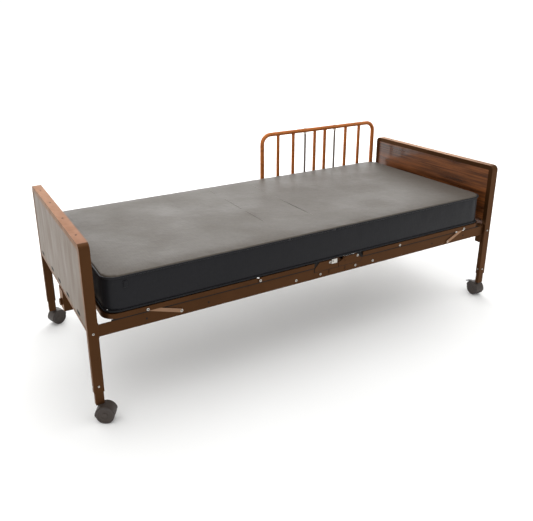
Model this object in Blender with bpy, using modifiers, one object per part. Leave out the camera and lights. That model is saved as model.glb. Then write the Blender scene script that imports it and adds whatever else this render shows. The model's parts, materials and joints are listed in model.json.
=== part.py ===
"""Adjustable homecare bed: hi-lo bed ends on casters, a split side-rail frame, a deck in four sections
with its lift arms and motors, a mattress in zones that fold with the deck, and one sliding half rail.

Metres, +Z up. X runs along the bed with the head at +X, and the half rail stands on the +Y side.
The origin lies on the floor under the middle of the bed.
"""

import math

import bmesh
import bpy
from mathutils import Matrix, Vector

FOOT, HEAD = -1, 1
NEAR, FAR = -1, 1
SIDES = {FOOT: "foot", HEAD: "head"}
HANDS = {NEAR: "near", FAR: "far"}

# --- driving sizes -------------------------------------------------------------------------------
LENGTH, END_WIDTH = 2.235, 0.914  # over the two bed ends, and over their sides
STRETCH, SPREAD = LENGTH / 2.235, END_WIDTH / 0.914  # what places along and across the bed follow
GAP = 0.0003  # between pieces that touch
RUN = 0.0005  # running clearance of a pin or a sliding leg
ROUND = 20  # sides of a round piece
BITE = 0.001  # how far joined shapes overlap

# bed ends: a channel bent into an arch, with a skin on each face
END_DEPTH, END_TOP = 0.041, 0.766
END_CORNER, END_WALL, END_FLANGE = 0.025, 0.002, 0.024
END_FOOT_Z = 0.137  # lower end of the outer leg
SKIN, SKIN_INSET, SKIN_BOTTOM = 0.004, 0.001, 0.418
SLOT_LONG, SLOT_HIGH, SLOT_RISE = 0.050, 0.016, 0.017
SLOT_PLACES = [SPREAD * y for y in (-0.326, -0.145, 0.014, 0.157, 0.371)]
SILL_HIGH = 0.0135
TOP_HOLE, TOP_HOLE_PLACES = 0.003, [SPREAD * y for y in (-0.34, -0.12, 0.12, 0.34)]

# hi-lo gear: gearbox under the sill, screw up inside the end, inner legs that it drives
BOX_LONG, BOX_WIDE, BOX_HIGH = 0.045, 0.070, 0.100
SOCKET_RADIUS, SOCKET_LONG, SOCKET_BORE = 0.016, 0.010, 0.008
SCREW_RADIUS, SCREW_TOP = 0.0065, 0.745
LEG_SPACE, LEG_WALL, LEG_PLUG = 0.001, 0.0025, 0.034
BEAM_Z, BEAM_HIGH, BEAM_INSET, NUT_INSET, NUT_HIGH = 0.690, 0.030, 0.0035, 0.0005, 0.050
SHAFT_RADIUS, SHAFT_DROP = 0.010, 0.065  # the shaft's depth below the gearbox top

# casters
WHEEL_RADIUS, WHEEL_WIDE, CASTER_WIDE, TRAIL = 0.0375, 0.018, 0.049, 0.022
HOOD_WALL, HOOD_SPACE, WEB_WIDE, AXLE_RADIUS = 0.0025, 0.0015, 0.010, 0.004
STEM_RADIUS, STEM_LONG, COLLAR_RADIUS, HOOD_CLEAR = 0.0055, 0.030, 0.012, 0.002
CASTER_TURN = {(FOOT, NEAR): -30, (FOOT, FAR): 20, (HEAD, NEAR): 84, (HEAD, FAR): -75}
PEDAL_WIDE, PEDAL_LONG, PEDAL_THICK, PEDAL_ANGLE = 0.022, 0.026, 0.004, 38
TYRE_EDGE = 0.003

# side rails: angles split in the middle, with hinge plates that rise to the deck
RAIL_INSET, RAIL_BOTTOM, RAIL_TOP, RAIL_WALL, RAIL_LEG = 0.013, 0.375, 0.427, 0.003, 0.030
SPLIT_X, PLATE_TOP, PLATE_SLOPE = 0.076 * STRETCH, 0.4545, 0.026
NOTCH, NOTCH_SLOPE, NOTCH_DEEP, NOTCH_LOW = 0.024, 0.006, 0.012, 0.004
PLATE_REACH = {FOOT: 0.086, HEAD: 0.022}  # beyond the hinge it carries
HOOK_BOTTOM = {FOOT: 0.370, HEAD: 0.326}
HOOK_THICK, HOOK_WIDE, HOOK_TOP = 0.005, 0.040, 0.432

# cross members, at their middles
CROSS_PLACES = {
    "hilo": -0.930 * STRETCH,
    "knee": -0.640 * STRETCH,
    "seat": 0.145 * STRETCH,
    "head": 0.740 * STRETCH,
}
CROSS_LONG, CROSS_HIGH, CROSS_WALL = 0.030, 0.040, 0.003

# deck: angle frames with a punched sheet in each
DECK_PROUD, DECK_BOTTOM, DECK_TOP, DECK_WALL, DECK_FLANGE = 0.008, 0.436, 0.457, 0.003, 0.025
DECK_CORNER, DECK_END_SPACE = 0.060, 0.0285
SHEET_THICK, SHEET_MARGIN, PUNCH, PUNCH_PITCH = 0.0032, 0.030, 0.075, 0.100
BAR_HIGH, BAR_WIDE, TRACK_Y, TRACK_WIDE = 0.0138, 0.025, 0.220 * SPREAD, 0.025
BAR_IN, BAR_PAST_ROLLER, FOOT_BAR_IN = 0.030, 0.060, 0.100
THIGH_X, BACK_X, HINGE_Z = 0.026 * STRETCH, 0.190 * STRETCH, 0.4465
KNEE_X, KNEE_Z, KNEE_SPACE, KNEE_SHELF = -0.355 * STRETCH, 0.443, 0.005, 0.002
KNEE_PAD_IN, KNEE_PAD_HALF = 0.008, 0.005
PIN_RADIUS, EAR_THICK, EAR_RADIUS, EAR_LONG, EAR_STRIP = 0.005, 0.0035, 0.0095, 0.040, 0.028
SEAT_SPACE, SEAT_POSTS = 0.014, [SPREAD * y for y in (-0.35, -0.05, 0.05, 0.35)]

# links between deck and rails
LINK_THICK, LINK_WIDE, LINK_ROD = 0.004, 0.016, 0.008
# their pins: in from the deck's end, and height
FOOT_LINK_TOP, FOOT_LINK_BOTTOM = (0.175 * STRETCH, 0.443), (0.319 * STRETCH, 0.397)
HEAD_LINK_TOP, HEAD_LINK_BOTTOM = (0.135 * STRETCH, 0.443), (0.247 * STRETCH, 0.389)
HEAD_ROD, HEAD_ROD_SHARE = 0.005, 0.18

# lift arms and motors
TUBE_RADIUS, TUBE_Z, ROLLER_RADIUS = 0.011, 0.393, 0.012
ARM_THICK, ARM_WIDE, ARM_SPACE = 0.006, 0.020, 0.001
HEAD_TUBE_X, HEAD_ARM, HEAD_SWING = 0.289 * STRETCH, 0.360 * STRETCH, 74.0
KNEE_TUBE_X, KNEE_ARM, KNEE_SWING = -0.162 * STRETCH, 0.150 * STRETCH, 78.0
LEVER, LEVER_Y, LEVER_END = 0.085, 0.130, 0.010
ROD_RADIUS, ROD_LONG, FORK_LONG, FORK_HIGH, FORK_WALL = 0.011, 0.330, 0.052, 0.040, 0.003
FORK_ROOT, ROD_SPACE = 0.012, 0.010
CASE_RADIUS, CASE_START, MOTOR_LONG, MOTOR_WIDE, MOTOR_HIGH = 0.017, 0.205, 0.080, 0.076, 0.076
CAN_RADIUS, CAN_LONG = 0.028, 0.110
HANGER_LONG, HANGER_WIDE = 0.024, 0.040
HILO_LONG, HILO_WIDE, HILO_HIGH = 0.110, 0.080, 0.085
CONTROL_SIZE, CONTROL_Y = (0.090, 0.130, 0.042), 0.290 * SPREAD
PLUG_RADIUS, PLUG_PLACES = 0.008, (-0.045, -0.015, 0.015, 0.045)

# mattress
PAD_INSET, PAD_THICK, PAD_END_SPACE, PAD_CORNER, PAD_REST = 0.002, 0.158, 0.0365, 0.060, 0.0005
HIP_ANGLE, THIGH_ANGLE, FOLD_SPACE = 33.5, 36.5, 0.010

# half rail, placed from the head end
RAIL_STAND, RAIL_TUBE, RAIL_BEND, RAIL_HIGH, RAIL_LOW = 0.031, 0.0115, 0.055, 0.878, 0.335
RAIL_LONG, RAIL_END_SPACE, BAR_RADIUS, POST_RADIUS = 0.846 * STRETCH, 0.0285, 0.009, 0.0065
# from the upright nearest the foot
BAR_PLACES = [STRETCH * x for x in (0.111, 0.220, 0.379, 0.456, 0.619, 0.727)]
POST_PLACES = [STRETCH * x for x in (0.309, 0.534)]
SLEEVE_LONG, SLEEVE_DEEP, SLEEVE_HIGH, BASE_THICK = 0.040, 0.014, 0.044, 0.004
KNOB_RADIUS, KNOB_LONG, KNOB_PIN = 0.010, 0.014, 0.004

# colours as sRGB hex, with metallic and roughness
FINISHES = {
    "brown_enamel": ("#5a3d28", 0.0, 0.35),
    "copper_enamel": ("#8a5333", 0.0, 0.30),
    "pink_enamel": ("#b0907c", 0.0, 0.40),
    "beige_laminate": ("#a09080", 0.0, 0.45),
    "walnut_laminate": ("#6b4028", 0.0, 0.25),
    "zinc": ("#b8b8b6", 1.0, 0.35),
    "grey_steel": ("#6e6a68", 0.8, 0.35),
    "black_plastic": ("#2c2a29", 0.0, 0.50),
    "grey_plastic": ("#55504c", 0.0, 0.50),
    "coated_fabric": ("#8a857e", 0.0, 0.60),
}

HALF_LENGTH = LENGTH / 2
HALF_WIDTH = END_WIDTH / 2
END_MID = HALF_LENGTH - END_DEPTH / 2
END_INNER = HALF_LENGTH - END_DEPTH
RAIL_OUT = HALF_WIDTH - RAIL_INSET
DECK_OUT = RAIL_OUT + DECK_PROUD
PAD_OUT = DECK_OUT - PAD_INSET
RAIL_Y = RAIL_OUT + RAIL_STAND
SKIN_TOP = END_TOP - END_FLANGE - GAP
SILL_TOP = SKIN_BOTTOM - RUN
BOX_TOP = SILL_TOP - SILL_HIGH - GAP
SHAFT_Z = BOX_TOP - SHAFT_DROP
DECK_END = END_INNER - DECK_END_SPACE
PAD_END = END_INNER - PAD_END_SPACE
PAD_BOTTOM = DECK_TOP + PAD_REST
PAD_TOP = PAD_BOTTOM + PAD_THICK
SHEET_TOP = DECK_TOP - DECK_WALL - RUN
BAR_TOP = DECK_BOTTOM + BAR_HIGH
RAIL_INNER = RAIL_OUT - RAIL_WALL
CROSS_FOOT_Z = RAIL_BOTTOM + RAIL_WALL  # underside of the cross members
PLATE_ENDS = {FOOT: THIGH_X - PLATE_REACH[FOOT], HEAD: BACK_X + PLATE_REACH[HEAD]}
LEG_BOTTOM = 2 * WHEEL_RADIUS + HOOD_SPACE + HOOD_WALL + HOOD_CLEAR
LEG_LONG = END_DEPTH - 2 * (END_WALL + LEG_SPACE)
BEAM_LONG = LEG_LONG - 2 * BEAM_INSET
NUT_RADIUS = BEAM_LONG / 2 - NUT_INSET
LEG_OUTER = HALF_WIDTH - END_WALL - RUN
LEG_INNER = HALF_WIDTH - END_FLANGE + 3 * RUN
LEG_MID = (LEG_INNER + LEG_OUTER) / 2
LINK_MID = RAIL_OUT + RUN + LINK_THICK / 2


# --- making shapes -------------------------------------------------------------------------------
def clear_scene():
    for obj in list(bpy.data.objects):
        bpy.data.objects.remove(obj)


def linear(hex_colour):
    """Linear RGBA from an sRGB hex colour."""
    channels = [int(hex_colour[i : i + 2], 16) / 255 for i in (1, 3, 5)]
    return [c / 12.92 if c <= 0.04045 else ((c + 0.055) / 1.055) ** 2.4 for c in channels] + [1.0]


def finish(obj, finish_name):
    """Give the object a material of its own in the named finish."""
    colour, metallic, roughness = FINISHES[finish_name]
    material = bpy.data.materials.new(f"{obj.name}_{finish_name}")
    material.use_nodes = True
    shader = material.node_tree.nodes["Principled BSDF"]
    shader.inputs["Base Color"].default_value = linear(colour)
    shader.inputs["Metallic"].default_value = metallic
    shader.inputs["Roughness"].default_value = roughness
    obj.data.materials.clear()
    obj.data.materials.append(material)
    return obj


def new_object(name, mesh):
    obj = bpy.data.objects.new(name, mesh)
    COLLECTION.objects.link(obj)
    return obj


def box(low, high, name="box"):
    """A block between two corners, given in any order."""
    low, high = Vector(low), Vector(high)
    bm = bmesh.new()
    bmesh.ops.create_cube(bm, size=1)
    size = Vector(abs(b - a) for a, b in zip(low, high))
    bmesh.ops.scale(bm, vec=size, verts=bm.verts)
    bmesh.ops.translate(bm, vec=(low + high) / 2, verts=bm.verts)
    mesh = bpy.data.meshes.new(name)
    bm.to_mesh(mesh)
    bm.free()
    return new_object(name, mesh)


def rod(start, end, radius, name="rod", sides=ROUND):
    """A round bar between two points."""
    start, end = Vector(start), Vector(end)
    along = end - start
    bm = bmesh.new()
    bmesh.ops.create_cone(
        bm, cap_ends=True, segments=sides, radius1=radius, radius2=radius, depth=along.length
    )
    turn = along.to_track_quat("Z", "Y").to_matrix().to_4x4()
    bmesh.ops.transform(bm, matrix=Matrix.Translation((start + end) / 2) @ turn, verts=bm.verts)
    mesh = bpy.data.meshes.new(name)
    bm.to_mesh(mesh)
    bm.free()
    for polygon in mesh.polygons:
        polygon.use_smooth = len(polygon.vertices) == 4
    return new_object(name, mesh)


def meshed(curve_object):
    """The curve as a mesh object with its caps welded on."""
    bpy.context.view_layer.update()
    evaluated = curve_object.evaluated_get(bpy.context.evaluated_depsgraph_get())
    mesh = bpy.data.meshes.new_from_object(evaluated)
    bm = bmesh.new()
    bm.from_mesh(mesh)
    bmesh.ops.remove_doubles(bm, verts=bm.verts, dist=1e-6)
    bmesh.ops.transform(bm, matrix=curve_object.matrix_world, verts=bm.verts)
    bmesh.ops.recalc_face_normals(bm, faces=bm.faces)
    bm.to_mesh(mesh)
    bm.free()
    name = curve_object.name
    bpy.data.objects.remove(curve_object)
    return new_object(name, mesh)


def add_spline(curve, points, cyclic):
    spline = curve.splines.new("POLY")
    spline.points.add(len(points) - 1)
    for target, point in zip(spline.points, points):
        target.co = (*point, *[0.0] * (3 - len(point)), 1.0)
    spline.use_cyclic_u = cyclic


PLANES = {  # the plane's own x, y and normal, as world axes
    "XY": ((1, 0, 0), (0, 1, 0), (0, 0, 1)),
    "YZ": ((0, 1, 0), (0, 0, 1), (1, 0, 0)),
    "XZ": ((1, 0, 0), (0, 0, 1), (0, -1, 0)),
}


def flat(outline, plane, low, high, holes=(), name="flat"):
    """A plate from an outline in a plane, between two places on the plane's world axis."""
    curve = bpy.data.curves.new(name, "CURVE")
    curve.dimensions = "2D"
    curve.fill_mode = "BOTH"
    curve.extrude = abs(high - low) / 2
    for points in (outline, *holes):
        add_spline(curve, points, cyclic=True)
    obj = new_object(name, curve)
    across, up, normal = (Vector(axis) for axis in PLANES[plane])
    middle = Vector(abs(part) for part in normal) * (low + high) / 2
    turn = Matrix((across, up, normal)).transposed().to_4x4()
    obj.matrix_world = Matrix.Translation(middle) @ turn
    return meshed(obj)


def combined(name, base, add=(), cut=()):
    """One named solid: the base with the added shapes joined on and the cutters taken away."""
    for operation, tools in (("UNION", add), ("DIFFERENCE", cut)):
        for tool in tools:
            modifier = base.modifiers.new(operation.title(), "BOOLEAN")
            modifier.operation = operation
            modifier.object = tool
    bpy.context.view_layer.update()
    evaluated = base.evaluated_get(bpy.context.evaluated_depsgraph_get())
    mesh = bpy.data.meshes.new_from_object(evaluated)
    base.modifiers.clear()
    base.data = mesh
    for tool in (*add, *cut):
        bpy.data.objects.remove(tool)
    base.name = name
    return base


def named(name, obj):
    obj.name = name
    return obj


def pivot(name, place, *pieces):
    """An empty on a joint's axis that carries the pieces it turns or slides."""
    empty = bpy.data.objects.new(name, None)
    empty.location = place
    COLLECTION.objects.link(empty)
    bpy.context.view_layer.update()
    for piece in pieces:
        piece.parent = empty
        piece.matrix_parent_inverse = empty.matrix_world.inverted()
    return empty


def arc(centre, radius, first, last, steps=6):
    """Points on an arc, with its angles in degrees."""
    angles = [math.radians(first + (last - first) * i / steps) for i in range(steps + 1)]
    return [(centre[0] + radius * math.cos(a), centre[1] + radius * math.sin(a)) for a in angles]


def arch(half_width, top, bottom, corner):
    """An upright outline with its two top corners rounded."""
    inner, shoulder = half_width - corner, top - corner
    return (
        [(half_width, bottom)]
        + arc((inner, shoulder), corner, 0, 90)
        + arc((-inner, shoulder), corner, 90, 180)
        + [(-half_width, bottom)]
    )


def obround(centre, length, height):
    """A slot outline with round ends."""
    radius = height / 2
    reach = length / 2 - radius
    right = arc((centre[0] + reach, centre[1]), radius, -90, 90)
    return right + arc((centre[0] - reach, centre[1]), radius, 90, 270)


def bar_outline(start, end, width):
    """A link outline with a round boss at each end."""
    radius = width / 2
    heading = math.degrees(math.atan2(end[1] - start[1], end[0] - start[0]))
    return arc(end, radius, heading - 90, heading + 90) + arc(
        start, radius, heading + 90, heading + 270
    )


def rounded_end(side, near_x, far_x, half_width, corner):
    """A plan outline that is square at one end and rounded at the end towards a bed end."""
    inner = half_width - corner
    points = [(near_x, -half_width)]
    points += arc((far_x - corner, -inner), corner, -90, 0)
    points += arc((far_x - corner, inner), corner, 0, 90)
    points += [(near_x, half_width)]
    return [(side * x, y) for x, y in points]


# --- bed ends ------------------------------------------------------------------------------------
def end_frame(side):
    """The brown arch: a channel with its web outwards, with the sill under the panels."""
    x = side * END_MID
    half = END_DEPTH / 2
    below = END_FOOT_Z - 0.01
    arches = {}
    for key, inset, thick in (
        ("channel", 0.0, half),
        ("inside", END_WALL, half - END_WALL),
        ("opening", END_FLANGE, half + BITE),
    ):
        outline = arch(
            HALF_WIDTH - inset,
            END_TOP - inset,
            END_FOOT_Z if key == "channel" else below,
            max(END_CORNER - inset, 2 * END_WALL),
        )
        arches[key] = flat(outline, "YZ", x - thick, x + thick)
    channel = combined("channel", arches["channel"], cut=[arches["inside"], arches["opening"]])
    reach, deep = HALF_WIDTH - END_FLANGE + BITE, half - SKIN_INSET
    sill = box((x - deep, -reach, SILL_TOP - SILL_HIGH), (x + deep, reach, SILL_TOP))
    holes = [
        rod((x, y, END_TOP - 2 * END_WALL), (x, y, END_TOP + BITE), TOP_HOLE, sides=12)
        for y in TOP_HOLE_PLACES
    ]
    holes.append(
        rod((x, 0, SILL_TOP - 2 * SILL_HIGH), (x, 0, SILL_TOP + BITE), SCREW_RADIUS + 4 * RUN)
    )
    frame = combined(f"{SIDES[side]}_end_frame", channel, add=[sill], cut=holes)
    return finish(frame, "brown_enamel")


def end_skins(side):
    """The laminate panel on each face. The outer one has a row of slots along its lower edge."""
    half_width = HALF_WIDTH - END_FLANGE - GAP
    outline = arch(half_width, SKIN_TOP, SKIN_BOTTOM, 2 * END_WALL)
    slots = [obround((y, SKIN_BOTTOM + SLOT_RISE), SLOT_LONG, SLOT_HIGH) for y in SLOT_PLACES]
    outer, inner = HALF_LENGTH - SKIN_INSET, END_INNER + SKIN_INSET
    for name, face, holes, look in (
        ("outer", outer - SKIN, slots, "beige_laminate"),
        ("inner", inner, (), "walnut_laminate"),
    ):
        skin = flat(outline, "YZ", side * face, side * (face + SKIN), holes)
        finish(named(f"{SIDES[side]}_panel_{name}", skin), look)


def gearbox(side):
    """The cast box that turns the drive shaft's motion into the lift screw's."""
    x, outer = side * END_MID, side * (END_MID + BOX_LONG / 2)
    inner = side * (END_MID - BOX_LONG / 2)
    half = BOX_WIDE / 2
    body = box((inner, -half, BOX_TOP - BOX_HIGH), (outer, half, BOX_TOP))
    rim = side * (END_MID + BOX_LONG / 2 + SOCKET_LONG)
    socket = rod((x, 0, SHAFT_Z), (rim, 0, SHAFT_Z), SOCKET_RADIUS)
    bores = [
        rod((x + side * SHAFT_RADIUS, 0, SHAFT_Z), (rim + side * BITE, 0, SHAFT_Z), SOCKET_BORE, sides=6),
        rod((x - side * RUN, 0, SHAFT_Z), (inner - side * BITE, 0, SHAFT_Z), SHAFT_RADIUS + RUN),
        rod((x, 0, BOX_TOP - SHAFT_DROP / 2), (x, 0, BOX_TOP + BITE), SCREW_RADIUS + RUN),
    ]
    finish(combined(f"{SIDES[side]}_gearbox", body, add=[socket], cut=bores), "brown_enamel")


def lift_screw(side):
    low = BOX_TOP - SHAFT_DROP / 2 + RUN
    screw = rod((side * END_MID, 0, low), (side * END_MID, 0, SCREW_TOP), SCREW_RADIUS)
    finish(named(f"{SIDES[side]}_lift_screw", screw), "zinc")
    pivot(f"{SIDES[side]}_screw_axis", (side * END_MID, 0, 0), screw)


def inner_legs(side):
    """Two square legs that slide in the channel, joined by the beam that carries the lift nut."""
    x, half, beam_half = side * END_MID, LEG_LONG / 2, BEAM_LONG / 2
    beam_low, beam_high = BEAM_Z - BEAM_HIGH / 2, BEAM_Z + BEAM_HIGH / 2
    reach = LEG_INNER + 2 * BITE
    beam = box((x - beam_half, -reach, beam_low), (x + beam_half, reach, beam_high))
    nut = rod((x, 0, beam_high - NUT_HIGH), (x, 0, beam_high - BITE), NUT_RADIUS)
    tubes, hollows = [], []
    for hand in HANDS:
        inner, outer = hand * LEG_INNER, hand * LEG_OUTER
        tubes.append(box((x - half, inner, LEG_BOTTOM), (x + half, outer, beam_high)))
        hollow_half, wall = half - LEG_WALL, hand * LEG_WALL
        hollows.append(
            box(
                (x - hollow_half, inner + wall, LEG_BOTTOM + LEG_PLUG),
                (x + hollow_half, outer - wall, beam_high + BITE),
            )
        )
        stem = Vector((x, hand * LEG_MID, LEG_BOTTOM))
        hollows.append(rod(stem - Vector((0, 0, BITE)), stem + Vector((0, 0, STEM_LONG)), STEM_RADIUS + RUN))
    hollows.append(rod((x, 0, beam_high + BITE), (x, 0, beam_high - 2 * NUT_HIGH), SCREW_RADIUS + RUN))
    legs = combined(f"{SIDES[side]}_legs", beam, add=[nut, *tubes], cut=hollows)
    finish(legs, "brown_enamel")
    pivot(f"{SIDES[side]}_legs_slide", (x, 0, LEG_BOTTOM), legs)


# --- casters -------------------------------------------------------------------------------------
def turned(obj, angle, place):
    """Turn a piece made at the origin about Z, and set it down at a place."""
    obj.data.transform(Matrix.Translation(place) @ Matrix.Rotation(math.radians(angle), 4, "Z"))
    return obj


def caster_hood():
    """The swivelling body: a web between the wheels, a hood over them, and the stem."""
    wheel = (TRAIL, WHEEL_RADIUS)
    outer, inner = WHEEL_RADIUS + HOOD_SPACE + HOOD_WALL, WHEEL_RADIUS + HOOD_SPACE
    half = CASTER_WIDE / 2
    hood = flat(
        arc(wheel, outer, 8, 190, 14) + arc(wheel, inner, 190, 8, 14), "XZ", -half, half
    )
    web_half = WEB_WIDE / 2
    web = flat(
        arc(wheel, WHEEL_RADIUS - HOOD_WALL, 215, -35, 12) + arc(wheel, inner + BITE, 0, 180, 12),
        "XZ", -web_half, web_half,
    )
    top = LEG_BOTTOM - GAP
    neck = box((-web_half, -web_half, WHEEL_RADIUS), (TRAIL, web_half, top - BITE))
    collar = rod((0, 0, WHEEL_RADIUS + outer - 4 * BITE), (0, 0, top), COLLAR_RADIUS, sides=16)
    stem = rod((0, 0, top - BITE), (0, 0, top + STEM_LONG - 4 * RUN), STEM_RADIUS, sides=16)
    bore = rod((TRAIL, -half, WHEEL_RADIUS), (TRAIL, half, WHEEL_RADIUS), AXLE_RADIUS + RUN, sides=16)
    return combined("hood", web, add=[hood, neck, collar, stem], cut=[bore])


def caster_wheels():
    """Twin wheels on one axle, turned from a profile about the axle."""
    out, inner, edge = CASTER_WIDE / 2, CASTER_WIDE / 2 - WHEEL_WIDE, TYRE_EDGE
    half_profile = [
        (0.0, out),
        (WHEEL_RADIUS - 2 * edge, out),
        (WHEEL_RADIUS, out - edge),
        (WHEEL_RADIUS, inner + edge),
        (WHEEL_RADIUS - edge, inner),
        (AXLE_RADIUS, inner),
    ]
    profile = half_profile + [(r, -y) for r, y in reversed(half_profile)]
    mesh = bpy.data.meshes.new("wheels")
    edges = [(i, i + 1) for i in range(len(profile) - 1)]
    mesh.from_pydata([(r, 0, y) for r, y in profile], edges, [])
    wheels = new_object("wheels", mesh)
    screw = wheels.modifiers.new("Turn", "SCREW")
    screw.steps = screw.render_steps = 28
    screw.use_merge_vertices = True
    screw.merge_threshold = 1e-5
    wheels = combined("wheels", wheels)
    wheels.data.transform(
        Matrix.Translation((TRAIL, 0, WHEEL_RADIUS)) @ Matrix.Rotation(math.radians(90), 4, "X")
    )
    wheels.data.shade_smooth()
    wheels.data.set_sharp_from_angle(angle=math.radians(30))
    return wheels


def caster_pedal():
    """The brake tab over the front of the hood."""
    angle = math.radians(PEDAL_ANGLE)
    radius = WHEEL_RADIUS + HOOD_SPACE + HOOD_WALL + GAP + PEDAL_THICK / 2 + BITE
    start = (TRAIL + radius * math.cos(angle), WHEEL_RADIUS + radius * math.sin(angle))
    end = (start[0] + PEDAL_LONG, start[1] - PEDAL_LONG / 3)
    half = PEDAL_WIDE / 2
    return flat(bar_outline(start, end, PEDAL_THICK), "XZ", -half, half), start


def caster(side, hand):
    """One twin-wheel caster, turned to where it came to rest."""
    place = Vector((side * END_MID, hand * LEG_MID, 0))
    angle = CASTER_TURN[side, hand]
    label = f"{SIDES[side]}_{HANDS[hand]}_caster"
    hood = turned(named(f"{label}_hood", caster_hood()), angle, place)
    wheels = turned(named(f"{label}_wheels", caster_wheels()), angle, place)
    finish(hood, "grey_plastic")
    finish(wheels, "black_plastic")
    heading = Matrix.Rotation(math.radians(angle), 4, "Z")
    swivel = pivot(f"{label}_swivel", place, hood)
    axle = pivot(f"{label}_axle", place + heading @ Vector((TRAIL, 0, WHEEL_RADIUS)), wheels)
    children = [axle]
    if side == HEAD:
        pedal, (x, z) = caster_pedal()
        finish(turned(named(f"{label}_brake", pedal), angle, place), "black_plastic")
        children.append(pivot(f"{label}_brake_axis", place + heading @ Vector((x, 0, z)), pedal))
    for child in children:
        child.parent = swivel
        child.matrix_parent_inverse = swivel.matrix_world.inverted()


# --- side rails and cross members ----------------------------------------------------------------
def rail_outline(side):
    """Half of a rail's web, with half of the raised joint: a slope up, a flat top, and half of the notch."""
    outer, inner = PLATE_ENDS[side], SPLIT_X + side * RUN / 2
    end = side * (END_INNER - GAP - HOOK_THICK / 2)
    high = PLATE_TOP
    return [
        (inner, RAIL_BOTTOM),
        (end, RAIL_BOTTOM),
        (end, RAIL_TOP),
        (outer, RAIL_TOP),
        (outer - side * PLATE_SLOPE, high),
        (inner + side * (NOTCH + NOTCH_SLOPE), high),
        (inner + side * NOTCH, high - NOTCH_DEEP),
        (inner, RAIL_TOP + NOTCH_LOW),
    ]


def side_rail(side, hand):
    """Half of a side rail: an angle with its hook plate, its hinge plate and the deck's hinge stud."""
    out, inner = hand * RAIL_OUT, hand * RAIL_INNER
    end, split = side * (END_INNER - GAP), SPLIT_X + side * RUN / 2
    inside_end = end - side * HOOK_THICK / 2
    web = flat(rail_outline(side), "XZ", out, inner)
    leg = box(
        (split, hand * (RAIL_OUT - RAIL_LEG), RAIL_BOTTOM),
        (inside_end, inner + hand * BITE, RAIL_BOTTOM + RAIL_WALL),
    )
    hook = box(
        (end - side * HOOK_THICK, hand * (RAIL_OUT - HOOK_WIDE), HOOK_BOTTOM[side]),
        (end, out, HOOK_TOP),
    )
    hinge_x = THIGH_X if side == FOOT else BACK_X
    stud = rod(
        (hinge_x, inner + hand * BITE, HINGE_Z),
        (hinge_x, inner - hand * (EAR_THICK + 2 * RUN), HINGE_Z),
        PIN_RADIUS, sides=16,
    )
    pins = [(KNEE_TUBE_X if side == FOOT else HEAD_TUBE_X, TUBE_Z, PIN_RADIUS)]
    if side == FOOT:
        in_from_end, height = FOOT_LINK_BOTTOM
        pins.append((-(DECK_END - in_from_end), height, LINK_ROD))
    holes = [
        rod((x, hand * (RAIL_OUT + BITE), z), (x, hand * (RAIL_INNER - BITE), z), radius + RUN, sides=16)
        for x, z, radius in pins
    ]
    name = f"{SIDES[side]}_{HANDS[hand]}_side_rail"
    finish(combined(name, web, add=[leg, hook, stud], cut=holes), "brown_enamel")


def cross_member(name, x):
    """An inverted channel that sits on the lower legs of the side rails."""
    half, reach = CROSS_LONG / 2, RAIL_INNER - GAP
    low = CROSS_FOOT_Z + GAP
    high = low + CROSS_HIGH
    block = box((x - half, -reach, low), (x + half, reach, high))
    hollow = box(
        (x - half + CROSS_WALL, -reach - BITE, low - BITE),
        (x + half - CROSS_WALL, reach + BITE, high - CROSS_WALL),
    )
    finish(combined(name, block, cut=[hollow]), "brown_enamel")


# --- deck ----------------------------------------------------------------------------------------
def deck_rims(outlines):
    """Angle all round an outline: the upright rim with a shelf turned in at its top."""
    full, inside, opening = outlines
    rim = flat(full, "XY", DECK_BOTTOM, DECK_TOP)
    hollow = flat(inside, "XY", DECK_BOTTOM - BITE, DECK_TOP - DECK_WALL)
    return combined("rim", rim, cut=[hollow, flat(opening, "XY", DECK_BOTTOM - BITE, DECK_TOP + BITE)])


def end_section_outlines(side, near_x):
    """The three outlines of a section that ends in rounded corners at a bed end."""
    start = side * near_x
    cases = ((0.0, start), (DECK_WALL, start - BITE), (DECK_FLANGE, start - BITE))
    return [
        rounded_end(side, near, DECK_END - inset, DECK_OUT - inset, DECK_CORNER - inset)
        for inset, near in cases
    ]


def middle_section_outlines(low_x, high_x):
    """The three outlines of a section that is open at both ends."""
    found = []
    for inset, beyond in ((0.0, 0.0), (DECK_WALL, BITE), (DECK_FLANGE, BITE)):
        y = DECK_OUT - inset
        found.append([(low_x - beyond, -y), (high_x + beyond, -y), (high_x + beyond, y), (low_x - beyond, y)])
    return found


def cross_bar(x, width=BAR_WIDE):
    reach = DECK_OUT - DECK_WALL + BITE
    return box((x - width / 2, -reach, DECK_BOTTOM), (x + width / 2, reach, BAR_TOP))


def tracks(low_x, high_x):
    """The two flats under a section that the lift rollers bear on."""
    half = TRACK_WIDE / 2
    return [
        box((low_x, hand * TRACK_Y - half, DECK_BOTTOM), (high_x, hand * TRACK_Y + half, BAR_TOP))
        for hand in HANDS
    ]


def hinge_ears(hinge_x, root_x, hand):
    """The ear behind a hinge plate, and the strip that joins it to the section's shelf."""
    out = hand * (RAIL_INNER - RUN)
    ear = flat(
        bar_outline((hinge_x, HINGE_Z), (root_x, HINGE_Z), 2 * EAR_RADIUS),
        "XZ", out, out - hand * EAR_THICK,
    )
    toward = 1 if root_x > hinge_x else -1
    strip = box(
        (root_x - toward * EAR_STRIP, out - hand * EAR_THICK, HINGE_Z),
        (root_x, out, DECK_TOP - DECK_WALL + BITE),
    )
    hole = rod(
        (hinge_x, out + hand * BITE, HINGE_Z),
        (hinge_x, out - hand * 2 * EAR_THICK, HINGE_Z),
        PIN_RADIUS + RUN, sides=16,
    )
    return [ear, strip], hole


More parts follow.
